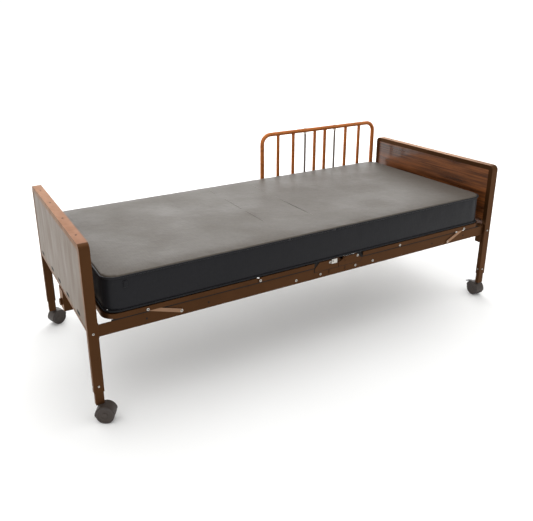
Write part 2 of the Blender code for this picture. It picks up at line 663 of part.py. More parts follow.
def back_frame():
    """The section under the back, with its hinge ears and the pin holes of the head link."""
    start = PLATE_ENDS[HEAD] + SEAT_SPACE / 2
    roller_end = HEAD_TUBE_X + HEAD_ARM + BAR_PAST_ROLLER
    adds = [cross_bar(start + BAR_IN), cross_bar(roller_end), *tracks(start + BAR_IN, roller_end)]
    cuts = []
    for hand in HANDS:
        ears, hole = hinge_ears(BACK_X, start + EAR_LONG, hand)
        adds += ears
        cuts.append(hole)
        cuts.append(link_pin_hole(DECK_END - HEAD_LINK_TOP[0], HEAD_LINK_TOP[1], hand))
    rims = deck_rims(end_section_outlines(HEAD, start))
    return finish(combined("back_frame", rims, add=adds, cut=cuts), "brown_enamel")


def link_pin_hole(x, z, hand):
    out = hand * (DECK_OUT + BITE)
    return rod((x, out, z), (x, out - hand * (DECK_WALL + 2 * BITE), z), PIN_RADIUS + RUN, sides=16)


def thigh_frame():
    """The section over the thighs. Its top corners stay inside the foot section's swing."""
    end = PLATE_ENDS[FOOT] - SEAT_SPACE / 2
    low = KNEE_X - EAR_RADIUS - BITE
    roller_end, near_bar = KNEE_TUBE_X - KNEE_ARM - BAR_WIDE / 2, end - BAR_WIDE
    adds = [cross_bar(near_bar), cross_bar(roller_end), *tracks(roller_end, near_bar)]
    reach = DECK_OUT + BITE
    corner = box(
        (low - BITE, -reach, KNEE_Z + EAR_RADIUS),
        (KNEE_X - KNEE_SHELF, reach, DECK_TOP + BITE),
    )
    cuts = [corner]
    for hand in HANDS:
        ears, hole = hinge_ears(THIGH_X, end - EAR_LONG, hand)
        adds += ears
        cuts += [hole, link_pin_hole(KNEE_X, KNEE_Z, hand)]
    rims = deck_rims(middle_section_outlines(low, end))
    return finish(combined("thigh_frame", rims, add=adds, cut=cuts), "brown_enamel")


def knee_ear(hand):
    """The foot section's ear inside the thigh section's rim, with the knee pin through that rim."""
    out = hand * (DECK_OUT - DECK_WALL - GAP)
    root = KNEE_X - 4 * EAR_RADIUS
    ear = flat(
        bar_outline((KNEE_X, KNEE_Z), (root, KNEE_Z), 2 * (EAR_RADIUS - RUN)),
        "XZ", out, out - hand * EAR_THICK,
    )
    pad = box(
        (KNEE_X - EAR_RADIUS - KNEE_PAD_IN, hand * (DECK_OUT - DECK_WALL + BITE), KNEE_Z - KNEE_PAD_HALF),
        (root, out - hand * BITE, KNEE_Z + KNEE_PAD_HALF),
    )
    pin = rod((KNEE_X, out - hand * BITE, KNEE_Z), (KNEE_X, hand * DECK_OUT, KNEE_Z), PIN_RADIUS, sides=14)
    return [ear, pad, pin]


def foot_frame():
    """The section under the calves, with the knee ears."""
    start = KNEE_X - EAR_RADIUS - KNEE_SPACE
    near_bar, far_bar = start - EAR_LONG, -(DECK_END - FOOT_BAR_IN)
    adds = [cross_bar(near_bar), cross_bar(far_bar), *tracks(far_bar, near_bar)]
    for hand in HANDS:
        adds += knee_ear(hand)
    rims = deck_rims(end_section_outlines(FOOT, start))
    return finish(combined("foot_frame", rims, add=adds), "brown_enamel")


def sheet(name, low_x, high_x):
    """A punched sheet that lies under the shelf of its section."""
    reach = RAIL_INNER - EAR_THICK - 3 * RUN
    outline = [(low_x, -reach), (high_x, -reach), (high_x, reach), (low_x, reach)]
    columns = max(1, round((high_x - low_x - 2 * SHEET_MARGIN) / PUNCH_PITCH))
    rows = round((2 * reach - 2 * SHEET_MARGIN) / PUNCH_PITCH)
    half = PUNCH / 2
    holes = []
    for column in range(columns):
        for row in range(rows):
            x = (low_x + high_x) / 2 + (column - (columns - 1) / 2) * PUNCH_PITCH
            y = (row - (rows - 1) / 2) * PUNCH_PITCH
            holes.append([(x + a * half, y + b * half) for a, b in ((-1, -1), (-1, 1), (1, 1), (1, -1))])
    plate = flat(outline, "XY", SHEET_TOP - SHEET_THICK, SHEET_TOP, holes)
    return finish(named(name, plate), "zinc")


def seat_deck():
    """The fixed middle of the deck, on posts that stand on its cross member."""
    low, high = THIGH_X + SEAT_SPACE, BACK_X - 1.5 * SEAT_SPACE
    reach = RAIL_INNER - EAR_THICK - 8 * RUN
    plate = box((low, -reach, SHEET_TOP - SHEET_THICK), (high, reach, SHEET_TOP))
    base = CROSS_FOOT_Z + CROSS_HIGH + 2 * GAP
    x, half = CROSS_PLACES["seat"], CROSS_LONG / 2
    posts = [
        box((x - half, y - half, base), (x + half, y + half, SHEET_TOP - BITE))
        for y in SEAT_POSTS
    ]
    return finish(combined("seat_deck", plate, add=posts), "brown_enamel")


# --- links ---------------------------------------------------------------------------------------
def foot_link():
    """Two arms on a rod through the side rails that carry the foot section's end."""
    top = (-(DECK_END - FOOT_LINK_TOP[0]), FOOT_LINK_TOP[1])
    low = (-(DECK_END - FOOT_LINK_BOTTOM[0]), FOOT_LINK_BOTTOM[1])
    reach = RAIL_OUT + RUN + BITE
    rung = rod((low[0], -reach, low[1]), (low[0], reach, low[1]), LINK_ROD)
    half = LINK_THICK / 2
    arms = [
        flat(bar_outline(low, top, LINK_WIDE), "XZ", hand * LINK_MID - half, hand * LINK_MID + half)
        for hand in HANDS
    ]
    link = finish(combined("foot_link", rung, add=arms), "pink_enamel")
    pivot("foot_link_axis", (low[0], 0, low[1]), link)


def head_link():
    """Two arms pinned to the back section, joined by a thin rod near their pins."""
    top = (DECK_END - HEAD_LINK_TOP[0], HEAD_LINK_TOP[1])
    low = (DECK_END - HEAD_LINK_BOTTOM[0], HEAD_LINK_BOTTOM[1])
    rung_x, rung_z = (a + (b - a) * HEAD_ROD_SHARE for a, b in zip(top, low))
    reach, half = LINK_MID, LINK_THICK / 2
    rung = rod((rung_x, -reach, rung_z), (rung_x, reach, rung_z), HEAD_ROD, sides=12)
    adds = []
    for hand in HANDS:
        outline = bar_outline(top, low, LINK_WIDE)
        adds.append(flat(outline, "XZ", hand * LINK_MID - half, hand * LINK_MID + half))
        pin_end = hand * DECK_OUT
        adds.append(rod((top[0], hand * LINK_MID, top[1]), (top[0], pin_end, top[1]), PIN_RADIUS, sides=16))
    link = finish(combined("head_link", rung, add=adds), "pink_enamel")
    pivot("head_link_axis", (top[0], 0, top[1]), link)


# --- lift arms and motors ------------------------------------------------------------------------
def lift_arm(name, side, tube_x, arm_long, swing):
    """A cross tube with two roller arms under a section and one lever down to the motor's rod."""
    reach, half = RAIL_INNER - 3 * BITE, ARM_THICK / 2
    tube_bar = rod((tube_x, -reach, TUBE_Z), (tube_x, reach, TUBE_Z), TUBE_RADIUS)
    roller_z = DECK_BOTTOM - ARM_SPACE - ROLLER_RADIUS
    rise = roller_z - TUBE_Z
    roller_x = tube_x + side * math.sqrt(arm_long**2 - rise**2)
    adds = []
    for hand in HANDS:
        y = hand * TRACK_Y
        outline = bar_outline((tube_x, TUBE_Z), (roller_x, roller_z), ARM_WIDE)
        adds.append(flat(outline, "XZ", y - half, y + half))
        start, end = (roller_x, y - 2 * half, roller_z), (roller_x, y + 2 * half, roller_z)
        adds.append(rod(start, end, ROLLER_RADIUS, sides=18))
        start, end = (tube_x, hand * (reach - BITE), TUBE_Z), (tube_x, hand * RAIL_OUT, TUBE_Z)
        adds.append(rod(start, end, PIN_RADIUS, sides=16))
    lean = math.radians(swing / 2)
    tip = (tube_x - side * LEVER * math.sin(lean), TUBE_Z - LEVER * math.cos(lean))
    y = side * LEVER_Y
    adds.append(flat(bar_outline((tube_x, TUBE_Z), tip, 2 * LEVER_END), "XZ", y - half, y + half))
    arm = finish(combined(name, tube_bar, add=adds), "zinc")
    pivot(f"{name}_axis", (tube_x, 0, TUBE_Z), arm)
    return tip


def pull_rod(name, side, tip):
    """The motor's sliding rod, with a fork round the lever."""
    y, half = side * LEVER_Y, ARM_THICK / 2
    z = rod_height(side, tip)
    start = tip[0] + side * FORK_LONG / 2
    bar = rod((start, y, z), (start + side * ROD_LONG, y, z), ROD_RADIUS)
    inner, outer = half + 2 * RUN, half + 2 * RUN + FORK_WALL
    root = box(
        (start - side * BITE, y - outer + BITE, z - ROD_RADIUS - BITE),
        (start + side * FORK_ROOT, y + outer - BITE, z + ROD_RADIUS + BITE),
    )
    cheeks = [
        box(
            (tip[0] - side * FORK_LONG / 2, y + hand * inner, z - FORK_HIGH / 2),
            (start + side * (FORK_ROOT - 2 * BITE), y + hand * outer, z + FORK_HIGH / 2),
        )
        for hand in HANDS
    ]
    finish(combined(name, bar, add=[root, *cheeks]), "zinc")
    pivot(f"{name}_slide", (start, y, z), bar)


def rod_height(side, tip):
    """Halfway between the lever tip's highest and lowest places."""
    return (tip[1] + TUBE_Z - LEVER) / 2


def motor(name, side, tip, cross_x):
    """A linear drive: gear case, motor can and outer tube, hung from its cross member."""
    y, z = side * LEVER_Y, rod_height(side, tip)
    low, high = cross_x - side * MOTOR_LONG / 2, cross_x + side * MOTOR_LONG / 2
    half, tall = MOTOR_WIDE / 2, MOTOR_HIGH / 2
    case = box((low, y - half, z - tall), (high, y + half, z + tall))
    hang, wide = HANGER_LONG / 2, HANGER_WIDE / 2
    hanger = box((cross_x - hang, y - wide, z + tall - BITE), (cross_x + hang, y + wide, CROSS_FOOT_Z))
    mouth = tip[0] + side * CASE_START
    outer = rod((mouth, y, z), (low + side * BITE, y, z), CASE_RADIUS)
    can_z = z - tall / 2
    can_end = (low - side * CAN_LONG, y, can_z - CAN_RADIUS)
    can = rod((low + side * BITE, y, can_z), can_end, CAN_RADIUS, sides=16)
    bore = rod((mouth - side * BITE, y, z), (high - side * ROD_SPACE, y, z), ROD_RADIUS + RUN)
    finish(combined(name, case, add=[hanger, outer, can], cut=[bore]), "black_plastic")


def hilo_motor():
    """The motor that turns the drive shaft, hung from the cross member near the foot."""
    half, wide = HILO_LONG / 2, HILO_WIDE / 2
    x, top, hang = CROSS_PLACES["hilo"], SHAFT_Z + HILO_HIGH / 3, HANGER_LONG / 2
    case = box((x - half, -wide, top - HILO_HIGH), (x + half, wide, top))
    hanger = box((x - hang, -wide / 2, top - BITE), (x + hang, wide / 2, CROSS_FOOT_Z))
    can_z = top - HILO_HIGH / 2
    can = rod((x, wide - BITE, can_z), (x, wide + CAN_LONG, can_z), CAN_RADIUS)
    bore = rod((x - half - BITE, 0, SHAFT_Z), (x + half + BITE, 0, SHAFT_Z), SHAFT_RADIUS + RUN)
    finish(combined("hilo_motor", case, add=[hanger, can], cut=[bore]), "black_plastic")


def drive_shaft():
    end = END_MID - 2 * RUN - SHAFT_RADIUS / 2
    shaft = rod((-end, 0, SHAFT_Z), (end, 0, SHAFT_Z), SHAFT_RADIUS, name="drive_shaft")
    finish(shaft, "zinc")
    pivot("drive_shaft_axis", (0, 0, SHAFT_Z), shaft)


def control_box():
    """The junction box, with a row of plug sockets in its foot-side face."""
    long, wide, high = CONTROL_SIZE
    x, top, mid = CROSS_PLACES["seat"], CROSS_FOOT_Z, CROSS_FOOT_Z - high / 2
    low_y, high_y = CONTROL_Y - wide / 2, CONTROL_Y + wide / 2
    body = box((x - long / 2, low_y, top - high), (x + long / 2, high_y, top))
    start, end = x - long / 2 - BITE, x - long / 4
    sockets = [rod((start, y, mid), (end, y, mid), PLUG_RADIUS, sides=12)
               for y in (CONTROL_Y + place for place in PLUG_PLACES)]
    finish(combined("control_box", body, cut=sockets), "black_plastic")


# --- mattress ------------------------------------------------------------------------------------
def zone(name, profile, corner_side=0):
    """A length of mattress from its side profile, with round corners in plan at one end."""
    pad = flat(profile, "XZ", -PAD_OUT, PAD_OUT)
    if corner_side:
        near = min(corner_side * x for x, _ in profile) - BITE
        plan = rounded_end(corner_side, near, PAD_END, PAD_OUT + BITE, PAD_CORNER + BITE)
        trim = flat(plan, "XY", PAD_BOTTOM - BITE, PAD_TOP + BITE)
        modifier = pad.modifiers.new("Corners", "BOOLEAN")
        modifier.operation = "INTERSECT"
        modifier.object = trim
        pad = combined(name, pad)
        bpy.data.objects.remove(trim)
    return finish(named(name, pad), "coated_fabric")


def mattress():
    """Zones that follow the deck, with the two wedges where the pad folds."""
    hip = PAD_THICK * math.tan(math.radians(HIP_ANGLE))
    thigh = PAD_THICK * math.tan(math.radians(THIGH_ANGLE))
    low, high = PAD_BOTTOM, PAD_TOP
    seat_low, seat_high = THIGH_X + FOLD_SPACE, BACK_X - FOLD_SPACE
    back_low, thigh_high = BACK_X + FOLD_SPACE, THIGH_X - FOLD_SPACE
    knee = KNEE_X
    zone("mattress_back", [(back_low, low), (PAD_END, low), (PAD_END, high), (back_low + hip, high)], HEAD)
    zone("mattress_seat", [(seat_low, low), (seat_high, low), (seat_high - hip, high), (seat_low, high)])
    zone("mattress_thigh", [
        (knee + GAP, low), (thigh_high, low), (thigh_high - thigh, high), (knee + GAP, high),
    ])
    zone("mattress_foot", [(-PAD_END, low), (knee - GAP, low), (knee - GAP, high), (-PAD_END, high)], FOOT)
    zone("mattress_hip_fold", [
        (seat_high + GAP, low), (back_low - GAP, low),
        (back_low + hip - GAP, high), (seat_high - hip + GAP, high),
    ])
    zone("mattress_thigh_fold", [
        (thigh_high + GAP, low), (seat_low - GAP, low),
        (seat_low - GAP, high), (thigh_high - thigh + GAP, high),
    ])


# --- half rail -----------------------------------------------------------------------------------
def half_rail():
    """A bent tube frame with bars, on two posts that slide through the bracket on the side rail."""
    right = END_INNER - RAIL_END_SPACE
    left = right - RAIL_LONG
    top, low = RAIL_HIGH - RAIL_TUBE, RAIL_LOW
    bend = RAIL_BEND
    outline = arc((right - bend, low + bend), bend, -90, 0) + arc((right - bend, top - bend), bend, 0, 90)
    outline += arc((left + bend, top - bend), bend, 90, 180) + arc((left + bend, low + bend), bend, 180, 270)
    middle = (left + right) / 2
    loop = closed_tube([(x, RAIL_Y, z) for x, z in [(middle, low), *outline]], RAIL_TUBE)
    bars = [
        rod((left + place, RAIL_Y, low), (left + place, RAIL_Y, top), BAR_RADIUS, sides=12)
        for place in BAR_PLACES
    ]
    frame = finish(combined("half_rail_frame", loop, add=bars), "copper_enamel")
    moving = [frame]
    for place, end in zip(POST_PLACES, ("foot", "head")):
        x = left + place
        post = rod((x, RAIL_Y, low + RAIL_TUBE + GAP), (x, RAIL_Y, top - RAIL_TUBE - GAP), POST_RADIUS)
        moving.append(finish(named(f"half_rail_{end}_post", post), "grey_steel"))
    pivot("half_rail_slide", (middle, RAIL_Y, RAIL_LOW), *moving)
    rail_bracket([left + place for place in POST_PLACES])


def closed_tube(points, radius):
    curve = bpy.data.curves.new("loop", "CURVE")
    curve.dimensions = "3D"
    curve.bevel_depth = radius
    curve.bevel_resolution = 3
    add_spline(curve, points, cyclic=True)
    return meshed(new_object("loop", curve))


def rail_bracket(posts):
    """A base plate on the side rail with a sleeve and a spring knob for each post."""
    back, front = RAIL_OUT + GAP, RAIL_Y + SLEEVE_DEEP
    high = RAIL_TOP
    low = high - SLEEVE_HIGH
    base = box((posts[0] - SLEEVE_LONG, back, low), (posts[1] + SLEEVE_LONG, back + BASE_THICK, high))
    half, mid = SLEEVE_LONG / 2, (low + high) / 2
    sleeves, holes = [], []
    for x, end in zip(posts, ("foot", "head")):
        sleeves.append(box((x - half, back + BITE, low), (x + half, front, high)))
        holes.append(rod((x, RAIL_Y, low - BITE), (x, RAIL_Y, high + BITE), POST_RADIUS + 2 * RUN))
        holes.append(rod((x, RAIL_Y, mid), (x, front + BITE, mid), KNOB_PIN + RUN, sides=12))
        pin = rod((x, RAIL_Y + POST_RADIUS + 3 * RUN, mid), (x, front + 2 * BITE, mid), KNOB_PIN, sides=12)
        grip = rod((x, front + GAP, mid), (x, front + KNOB_LONG, mid), KNOB_RADIUS)
        knob = finish(combined(f"half_rail_{end}_knob", grip, add=[pin]), "black_plastic")
        pivot(f"half_rail_{end}_knob_slide", (x, front, mid), knob)
    bracket = combined("half_rail_bracket", base, add=sleeves, cut=holes)
    finish(bracket, "brown_enamel")


# --- assembly ------------------------------------------------------------------------------------
def build_ends():
    for side in SIDES:
        end_frame(side)
        end_skins(side)
        gearbox(side)
        lift_screw(side)
        inner_legs(side)
        for hand in HANDS:
            caster(side, hand)
            side_rail(side, hand)


def build_deck():
    back = back_frame()
    back_sheet = sheet("back_sheet", PLATE_ENDS[HEAD] + SEAT_SPACE, DECK_END - DECK_CORNER / 2)
    thigh = thigh_frame()
    thigh_sheet = sheet("thigh_sheet", KNEE_X + SEAT_SPACE / 2, PLATE_ENDS[FOOT] - SEAT_SPACE / 2)
    foot = foot_frame()
    foot_sheet = sheet("foot_sheet", -(DECK_END - DECK_CORNER / 2), KNEE_X - EAR_RADIUS - SEAT_SPACE / 2)
    seat_deck()
    pivot("back_hinge", (BACK_X, 0, HINGE_Z), back, back_sheet)
    pivot("thigh_hinge", (THIGH_X, 0, HINGE_Z), thigh, thigh_sheet)
    pivot("knee_hinge", (KNEE_X, 0, KNEE_Z), foot, foot_sheet)


def build_drives():
    for name, x in CROSS_PLACES.items():
        cross_member(f"{name}_cross_member", x)
    head_tip = lift_arm("head_lift_arm", HEAD, HEAD_TUBE_X, HEAD_ARM, HEAD_SWING)
    knee_tip = lift_arm("knee_lift_arm", FOOT, KNEE_TUBE_X, KNEE_ARM, KNEE_SWING)
    pull_rod("head_pull_rod", HEAD, head_tip)
    pull_rod("knee_pull_rod", FOOT, knee_tip)
    motor("head_motor", HEAD, head_tip, CROSS_PLACES["head"])
    motor("knee_motor", FOOT, knee_tip, CROSS_PLACES["knee"])
    hilo_motor()
    drive_shaft()
    control_box()


clear_scene()
COLLECTION = bpy.data.collections.new("Adjustable bed")
bpy.context.scene.collection.children.link(COLLECTION)
build_ends()
build_deck()
foot_link()
head_link()
build_drives()
mattress()
half_rail()
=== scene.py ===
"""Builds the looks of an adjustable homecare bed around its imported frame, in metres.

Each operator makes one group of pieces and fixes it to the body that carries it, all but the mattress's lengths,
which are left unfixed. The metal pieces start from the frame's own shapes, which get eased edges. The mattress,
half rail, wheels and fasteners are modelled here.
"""

import json
import math

import bmesh
import bpy
from bpy.props import FloatProperty, FloatVectorProperty, IntProperty, PointerProperty
from mathutils import Matrix, Vector, noise


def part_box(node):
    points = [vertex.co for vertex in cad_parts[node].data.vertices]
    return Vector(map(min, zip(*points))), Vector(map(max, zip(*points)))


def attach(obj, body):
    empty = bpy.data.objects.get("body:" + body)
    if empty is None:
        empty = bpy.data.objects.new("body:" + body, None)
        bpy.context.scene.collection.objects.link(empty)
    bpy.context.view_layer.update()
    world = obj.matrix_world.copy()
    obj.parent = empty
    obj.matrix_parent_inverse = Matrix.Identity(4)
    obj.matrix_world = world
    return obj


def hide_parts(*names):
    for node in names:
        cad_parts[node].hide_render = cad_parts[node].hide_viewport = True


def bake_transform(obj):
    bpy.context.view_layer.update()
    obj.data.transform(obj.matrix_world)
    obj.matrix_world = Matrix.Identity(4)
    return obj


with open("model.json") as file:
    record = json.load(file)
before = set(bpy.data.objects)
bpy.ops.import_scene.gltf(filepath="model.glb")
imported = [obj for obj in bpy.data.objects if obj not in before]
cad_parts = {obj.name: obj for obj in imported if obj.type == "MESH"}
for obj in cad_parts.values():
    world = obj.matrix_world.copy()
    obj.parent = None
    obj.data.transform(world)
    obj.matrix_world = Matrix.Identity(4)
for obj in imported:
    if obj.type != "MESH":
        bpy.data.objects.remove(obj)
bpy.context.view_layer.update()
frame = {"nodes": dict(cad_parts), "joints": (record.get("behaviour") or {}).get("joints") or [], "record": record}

bl_info = {
    "name": "Adjustable Homecare Bed",
    "version": (1, 0, 0),
    "blender": (4, 5, 0),
    "location": "3D View > Sidebar > Bed",
    "description": "Builds the pieces, finishes and studio of an adjustable homecare bed",
    "category": "Object",
}

ENDS = ("foot", "head")
HANDS = {"near": -1, "far": 1}
JOINTS = {joint["name"]: joint for joint in frame["joints"]}
BODY_OF = {
    node: body
    for body, nodes in frame["record"]["behaviour"]["bodies"].items()
    for node in nodes
}
RAIL_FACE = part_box("foot_far_side_rail")[1].y
DECK_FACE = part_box("foot_frame")[1].y
END_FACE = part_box("head_end_frame")[1].y

BAR_PLACES = (0.111, 0.220, 0.379, 0.456, 0.619, 0.727)  # from the half rail's foot-side upright
SCREW_SIZES = {  # radius and height of the head
    "side_glide": (0.0045, 0.0016),
    "end_glide": (0.0040, 0.0014),
    "bracket": (0.0048, 0.0028),
    "joint": (0.0055, 0.0030),
    "case": (0.0035, 0.0018),
    "half_rail": (0.0060, 0.0040),
}
SLOT_SHADE_SHARES = (-0.713, -0.317, 0.031, 0.344, 0.812)  # painted slot shades on the outer panels, as shares of the half width
HOLE_RADIUS = 0.0042
TOP_HOLES = (0.12, 0.34)  # from the bed's middle line, on top of each bed end
RAIL_HOLES = (-0.878, -0.604, 0.690, 0.920)  # unused holes, along the side rails
PAINTED_SHADE_STRIPS = (  # painted shade strips: from and to along the bed, and whether a strip stands as tall as the joint plates
    (-1.02, -0.068, False), (-0.068, -0.030, True), (0.182, 0.226, True),
    (0.226, 0.862, False), (0.925, 1.03, False),
)
PLATE_REACH, PLATE_SLOPE, PLATE_RISE, PLATE_LAP, PLATE_THICK = 0.136, 0.026, 0.0275, 0.017, 0.0022
GEAR_CASE, GEAR_CASE_LOW = 0.040, 0.2787  # middle of a motor's gear case from its end, and its underside
MATTRESS_PARTS = ("back", "hip_fold", "seat", "thigh_fold", "thigh", "foot")
FOLD_MARKS = {"hip": 0.050, "thigh": -0.200}  # where the mattress is divided, along the bed
SEAM_PUCKERS = ((26.0, 0.0016), (60.0, 0.0007))  # waves to the metre, and depth
HOLLOW_PITCH, HOLLOW_DEPTH = 5.0, 0.0022

PAPER = "#f8f8f7"
AREA_LIGHTS = (  # name, place, what it looks at, size, watts
    ("overhead", (-0.2, 0.3, 3.2), (0.1, 0.0, 0.4), (2.4, 1.6), 14),
    ("back_panel", (2.6, 5.6, 3.4), (0.6, 0.0, 0.9), (9.0, 2.8), 330),
)
CAMERA_PLACE, CAMERA_TURN = (-1.529, -2.445, 1.554), (71.15, 0.55, -29.17)
CAMERA_LENS, CAMERA_SHIFT = 39.35, (0.0387, -0.0926)


def linear(hex_colour):
    """Linear RGBA from an sRGB hex colour."""
    channels = [int(hex_colour[i : i + 2], 16) / 255 for i in (1, 3, 5)]
    return [c / 12.92 if c <= 0.04045 else ((c + 0.055) / 1.055) ** 2.4 for c in channels] + [1.0]


def colour_property(name, hex_colour, description):
    return FloatVectorProperty(
        name=name, description=description, subtype="COLOR", size=4, min=0, max=1,
        default=linear(hex_colour),
    )


def length_property(name, default, description):
    return FloatProperty(name=name, description=description, default=default, min=0, unit="LENGTH")


class BedColours(bpy.types.PropertyGroup):
    """The colours of the bed's finishes."""

    enamel: colour_property("Frame enamel", "#432a17", "Baked enamel on the ends, side rails and deck")
    rail: colour_property("Half rail enamel", "#a9622f", "Glossy enamel on the half rail")
    link: colour_property("Link enamel", "#8a6c56", "Pale enamel on the two links")
    outer_panel: colour_property("Outer panel", "#5f4d3a", "Laminate on the outside of the bed ends")
    walnut: colour_property("Walnut", "#7e4923", "Laminate on the inside of the bed ends")
    walnut_grain: colour_property("Walnut grain", "#3b1e0d", "Dark grain lines of the walnut laminate")
    mattress_top: colour_property("Mattress top", "#514b44", "Coated nylon on the sleeping face")
    mattress_side: colour_property("Mattress side", "#18181b", "Coated nylon round the border")
    plastic: colour_property("Black plastic", "#262524", "Motor housings, control box and knobs")
    caster: colour_property("Caster nylon", "#3d3530", "Caster hoods and wheel centres")
    tread: colour_property("Caster tread", "#3a3330", "Soft tread of the wheels")
    zinc: colour_property("Zinc plating", "#c4c1bb", "Screws, pivots, rods and the deck's sheets")
    post: colour_property("Post steel", "#8a817a", "The half rail's two sliding posts")
    # Painted shade: this near-black stands in for the shade inside holes, slots and screw sockets, and in the gaps
    # along the rails and by the joint plates.
    shade_in_recesses: colour_property("Recess", "#14100e", "The inside of holes, slots and screw sockets")
    cap: colour_property("Post cap", "#d8d2c6", "Nylon caps on the half rail's posts")


class BedSizes(bpy.types.PropertyGroup):
    """The sizes that the frame doesn't set."""

    edge: length_property("Eased edge", 0.0007, "Width of the rounding on the steel edges")
    rivet: length_property("Rivet radius", 0.0062, "Radius of the plated pivot heads")
    rail_tube: length_property("Rail tube radius", 0.0125, "Radius of the half rail's bent tube")
    rail_bar: length_property("Rail bar radius", 0.0098, "Radius of the half rail's upright bars")
    rail_bend: length_property("Rail bend", 0.055, "Bend radius at the half rail's corners")
    wheel_width: length_property("Wheel width", 0.018, "Width of one caster wheel")
    caster_width: length_property("Caster width", 0.049, "Width over the two wheels of a caster")
    mattress_corner: length_property("Mattress corner", 0.060, "Radius of the mattress corners in plan")
    piping: length_property("Piping radius", 0.0040, "Radius of the mattress piping")
    voxel: length_property("Cloth spacing", 0.012, "Point spacing of the simulated mattress cover")
    swell: length_property("Cover swell", 0.006, "Furthest that the mattress cover swells")
    swell_steps: IntProperty(name="Cover steps", description="Simulated frames", default=20, min=1)


# --- modelling by hand ---
def deselect():
    if bpy.context.mode != "OBJECT":
        bpy.ops.object.mode_set(mode="OBJECT")
    bpy.ops.object.select_all(action="DESELECT")


def choose(*pieces):
    """Select just these pieces, the first of them active."""
    deselect()
    for piece in pieces:
        piece.select_set(True)
    bpy.context.view_layer.objects.active = pieces[0]


def added(name):
    """The primitive that was just added, under its own name."""
    piece = bpy.context.active_object
    piece.name = name
    return piece


def cube(name, low, high):
    deselect()
    low, high = Vector(low), Vector(high)
    bpy.ops.mesh.primitive_cube_add(size=1, location=(low + high) / 2)
    piece = added(name)
    piece.scale = high - low
    return apply_place(piece)


def cylinder(name, radius, depth, vertices=32):
    """A cylinder that stands on the origin."""
    deselect()
    bpy.ops.mesh.primitive_cylinder_add(
        radius=radius, depth=depth, vertices=vertices, location=(0, 0, depth / 2)
    )
    return apply_place(added(name))


def apply_place(piece):
    choose(piece)
    bpy.ops.object.transform_apply(location=True, rotation=True, scale=True)
    return piece


def set_down(piece, place, towards=(0, 0, 1)):
    """Turn a piece made along +Z towards a direction and set it down at its place."""
    piece.rotation_euler = Vector(towards).to_track_quat("Z", "Y").to_euler()
    piece.location = place
    return apply_place(piece)


def copied(piece, name):
    """A copy with its own mesh."""
    copy = piece.copy()
    copy.data = piece.data.copy()
    copy.name = name
    bpy.context.collection.objects.link(copy)
    return copy


def joined(name, pieces):
    choose(*pieces)
    if len(pieces) > 1:
        bpy.ops.object.join()
    return added(name)


def pick(piece, kind, test):
    """In edit mode, select just the faces or edges that pass a test."""
    choose(piece)
    bpy.ops.object.mode_set(mode="EDIT")
    bpy.ops.mesh.select_mode(type=kind)
    bpy.ops.mesh.select_all(action="DESELECT")
    mesh = bmesh.from_edit_mesh(piece.data)
    picked = [item for item in (mesh.faces if kind == "FACE" else mesh.edges) if test(item)]
    if not picked:
        raise RuntimeError(f"nothing to pick on {piece.name}")
    for item in picked:
        item.select_set(True)
    bmesh.update_edit_mesh(piece.data)


def grow(thickness=0.0, out=0.0):
    """Inset the picked faces and then push them out."""
    if thickness:
        bpy.ops.mesh.inset(thickness=thickness, depth=0)
    if out:
        bpy.ops.mesh.extrude_region_shrink_fatten(TRANSFORM_OT_shrink_fatten={"value": out})


def with_modifier(piece, kind, **settings):
    """Add a modifier and apply it."""
    choose(piece)
    modifier = piece.modifiers.new(kind, kind)
    for key, value in settings.items():
        setattr(modifier, key, value)
    bpy.ops.object.modifier_apply(modifier=modifier.name)
    return piece


def eased(piece, width, segments=2, angle=35):
    """Round the hard edges and shade the rest smooth."""
    with_modifier(
        piece, "BEVEL", width=width, segments=segments, limit_method="ANGLE",
        angle_limit=math.radians(angle), use_clamp_overlap=True,
    )
    choose(piece)
    bpy.ops.object.shade_smooth_by_angle(angle=math.radians(angle))
    return with_modifier(piece, "WEIGHTED_NORMAL", keep_sharp=True, weight=80)


def cut_away(piece, tool):
    """Cut a tool's shape out of a piece, and remove the tool."""
    with_modifier(piece, "BOOLEAN", operation="DIFFERENCE", object=tool, solver="EXACT")
    bpy.data.objects.remove(tool)
    return piece


def sliced(piece, place, normal):
    """Slice off what lies beyond a plane and close the cut."""
    choose(piece)
    bpy.ops.object.mode_set(mode="EDIT")
    bpy.ops.mesh.select_all(action="SELECT")
    bpy.ops.mesh.bisect(plane_co=place, plane_no=normal, use_fill=True, clear_outer=True)
    bpy.ops.object.mode_set(mode="OBJECT")
    return piece


def tube_loop(name, size, place, corner, radius, resolution, turn=(0, 0, 0), cuts=0, wobble=0.0):
    """A round tube along a rectangle with round corners, which may waver a little up and down."""
    deselect()
    bpy.ops.mesh.primitive_plane_add(size=1, location=place, rotation=turn)
    loop = added(name)
    loop.scale = (*size, 1)
    apply_place(loop)
    bpy.ops.object.mode_set(mode="EDIT")
    bpy.ops.mesh.select_all(action="SELECT")
    bpy.ops.mesh.bevel(offset=corner, segments=12, affect="VERTICES")
    bpy.ops.mesh.select_all(action="SELECT")
    bpy.ops.mesh.delete(type="ONLY_FACE")
    if cuts:
        bpy.ops.mesh.select_all(action="SELECT")
        bpy.ops.mesh.subdivide(number_cuts=cuts)
    bpy.ops.object.mode_set(mode="OBJECT")
    for vertex in loop.data.vertices:
        vertex.co.z += noise.noise(vertex.co * 16.0) * wobble
    bpy.ops.object.convert(target="CURVE")
    curve = bpy.context.active_object.data
    curve.bevel_depth, curve.bevel_resolution = radius, resolution
    bpy.ops.object.convert(target="MESH")
    bpy.ops.object.shade_smooth()
    return bpy.context.active_object


def dress(piece, *keys):
    """Put on materials, for its material slots in order."""
    piece.data.materials.clear()
    for key in keys:
        piece.data.materials.append(material(key))
    return piece


def fit(piece, body, slot, *replaced):
    """Fix a finished piece to the body that carries it."""
    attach(piece, body)
    if replaced:
        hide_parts(*replaced)
    return piece


def group(name, pieces, body, slot, *replaced):
    """Join pieces into one and fix it to the body that carries it."""
    return fit(joined(name, pieces), body, slot, *replaced)


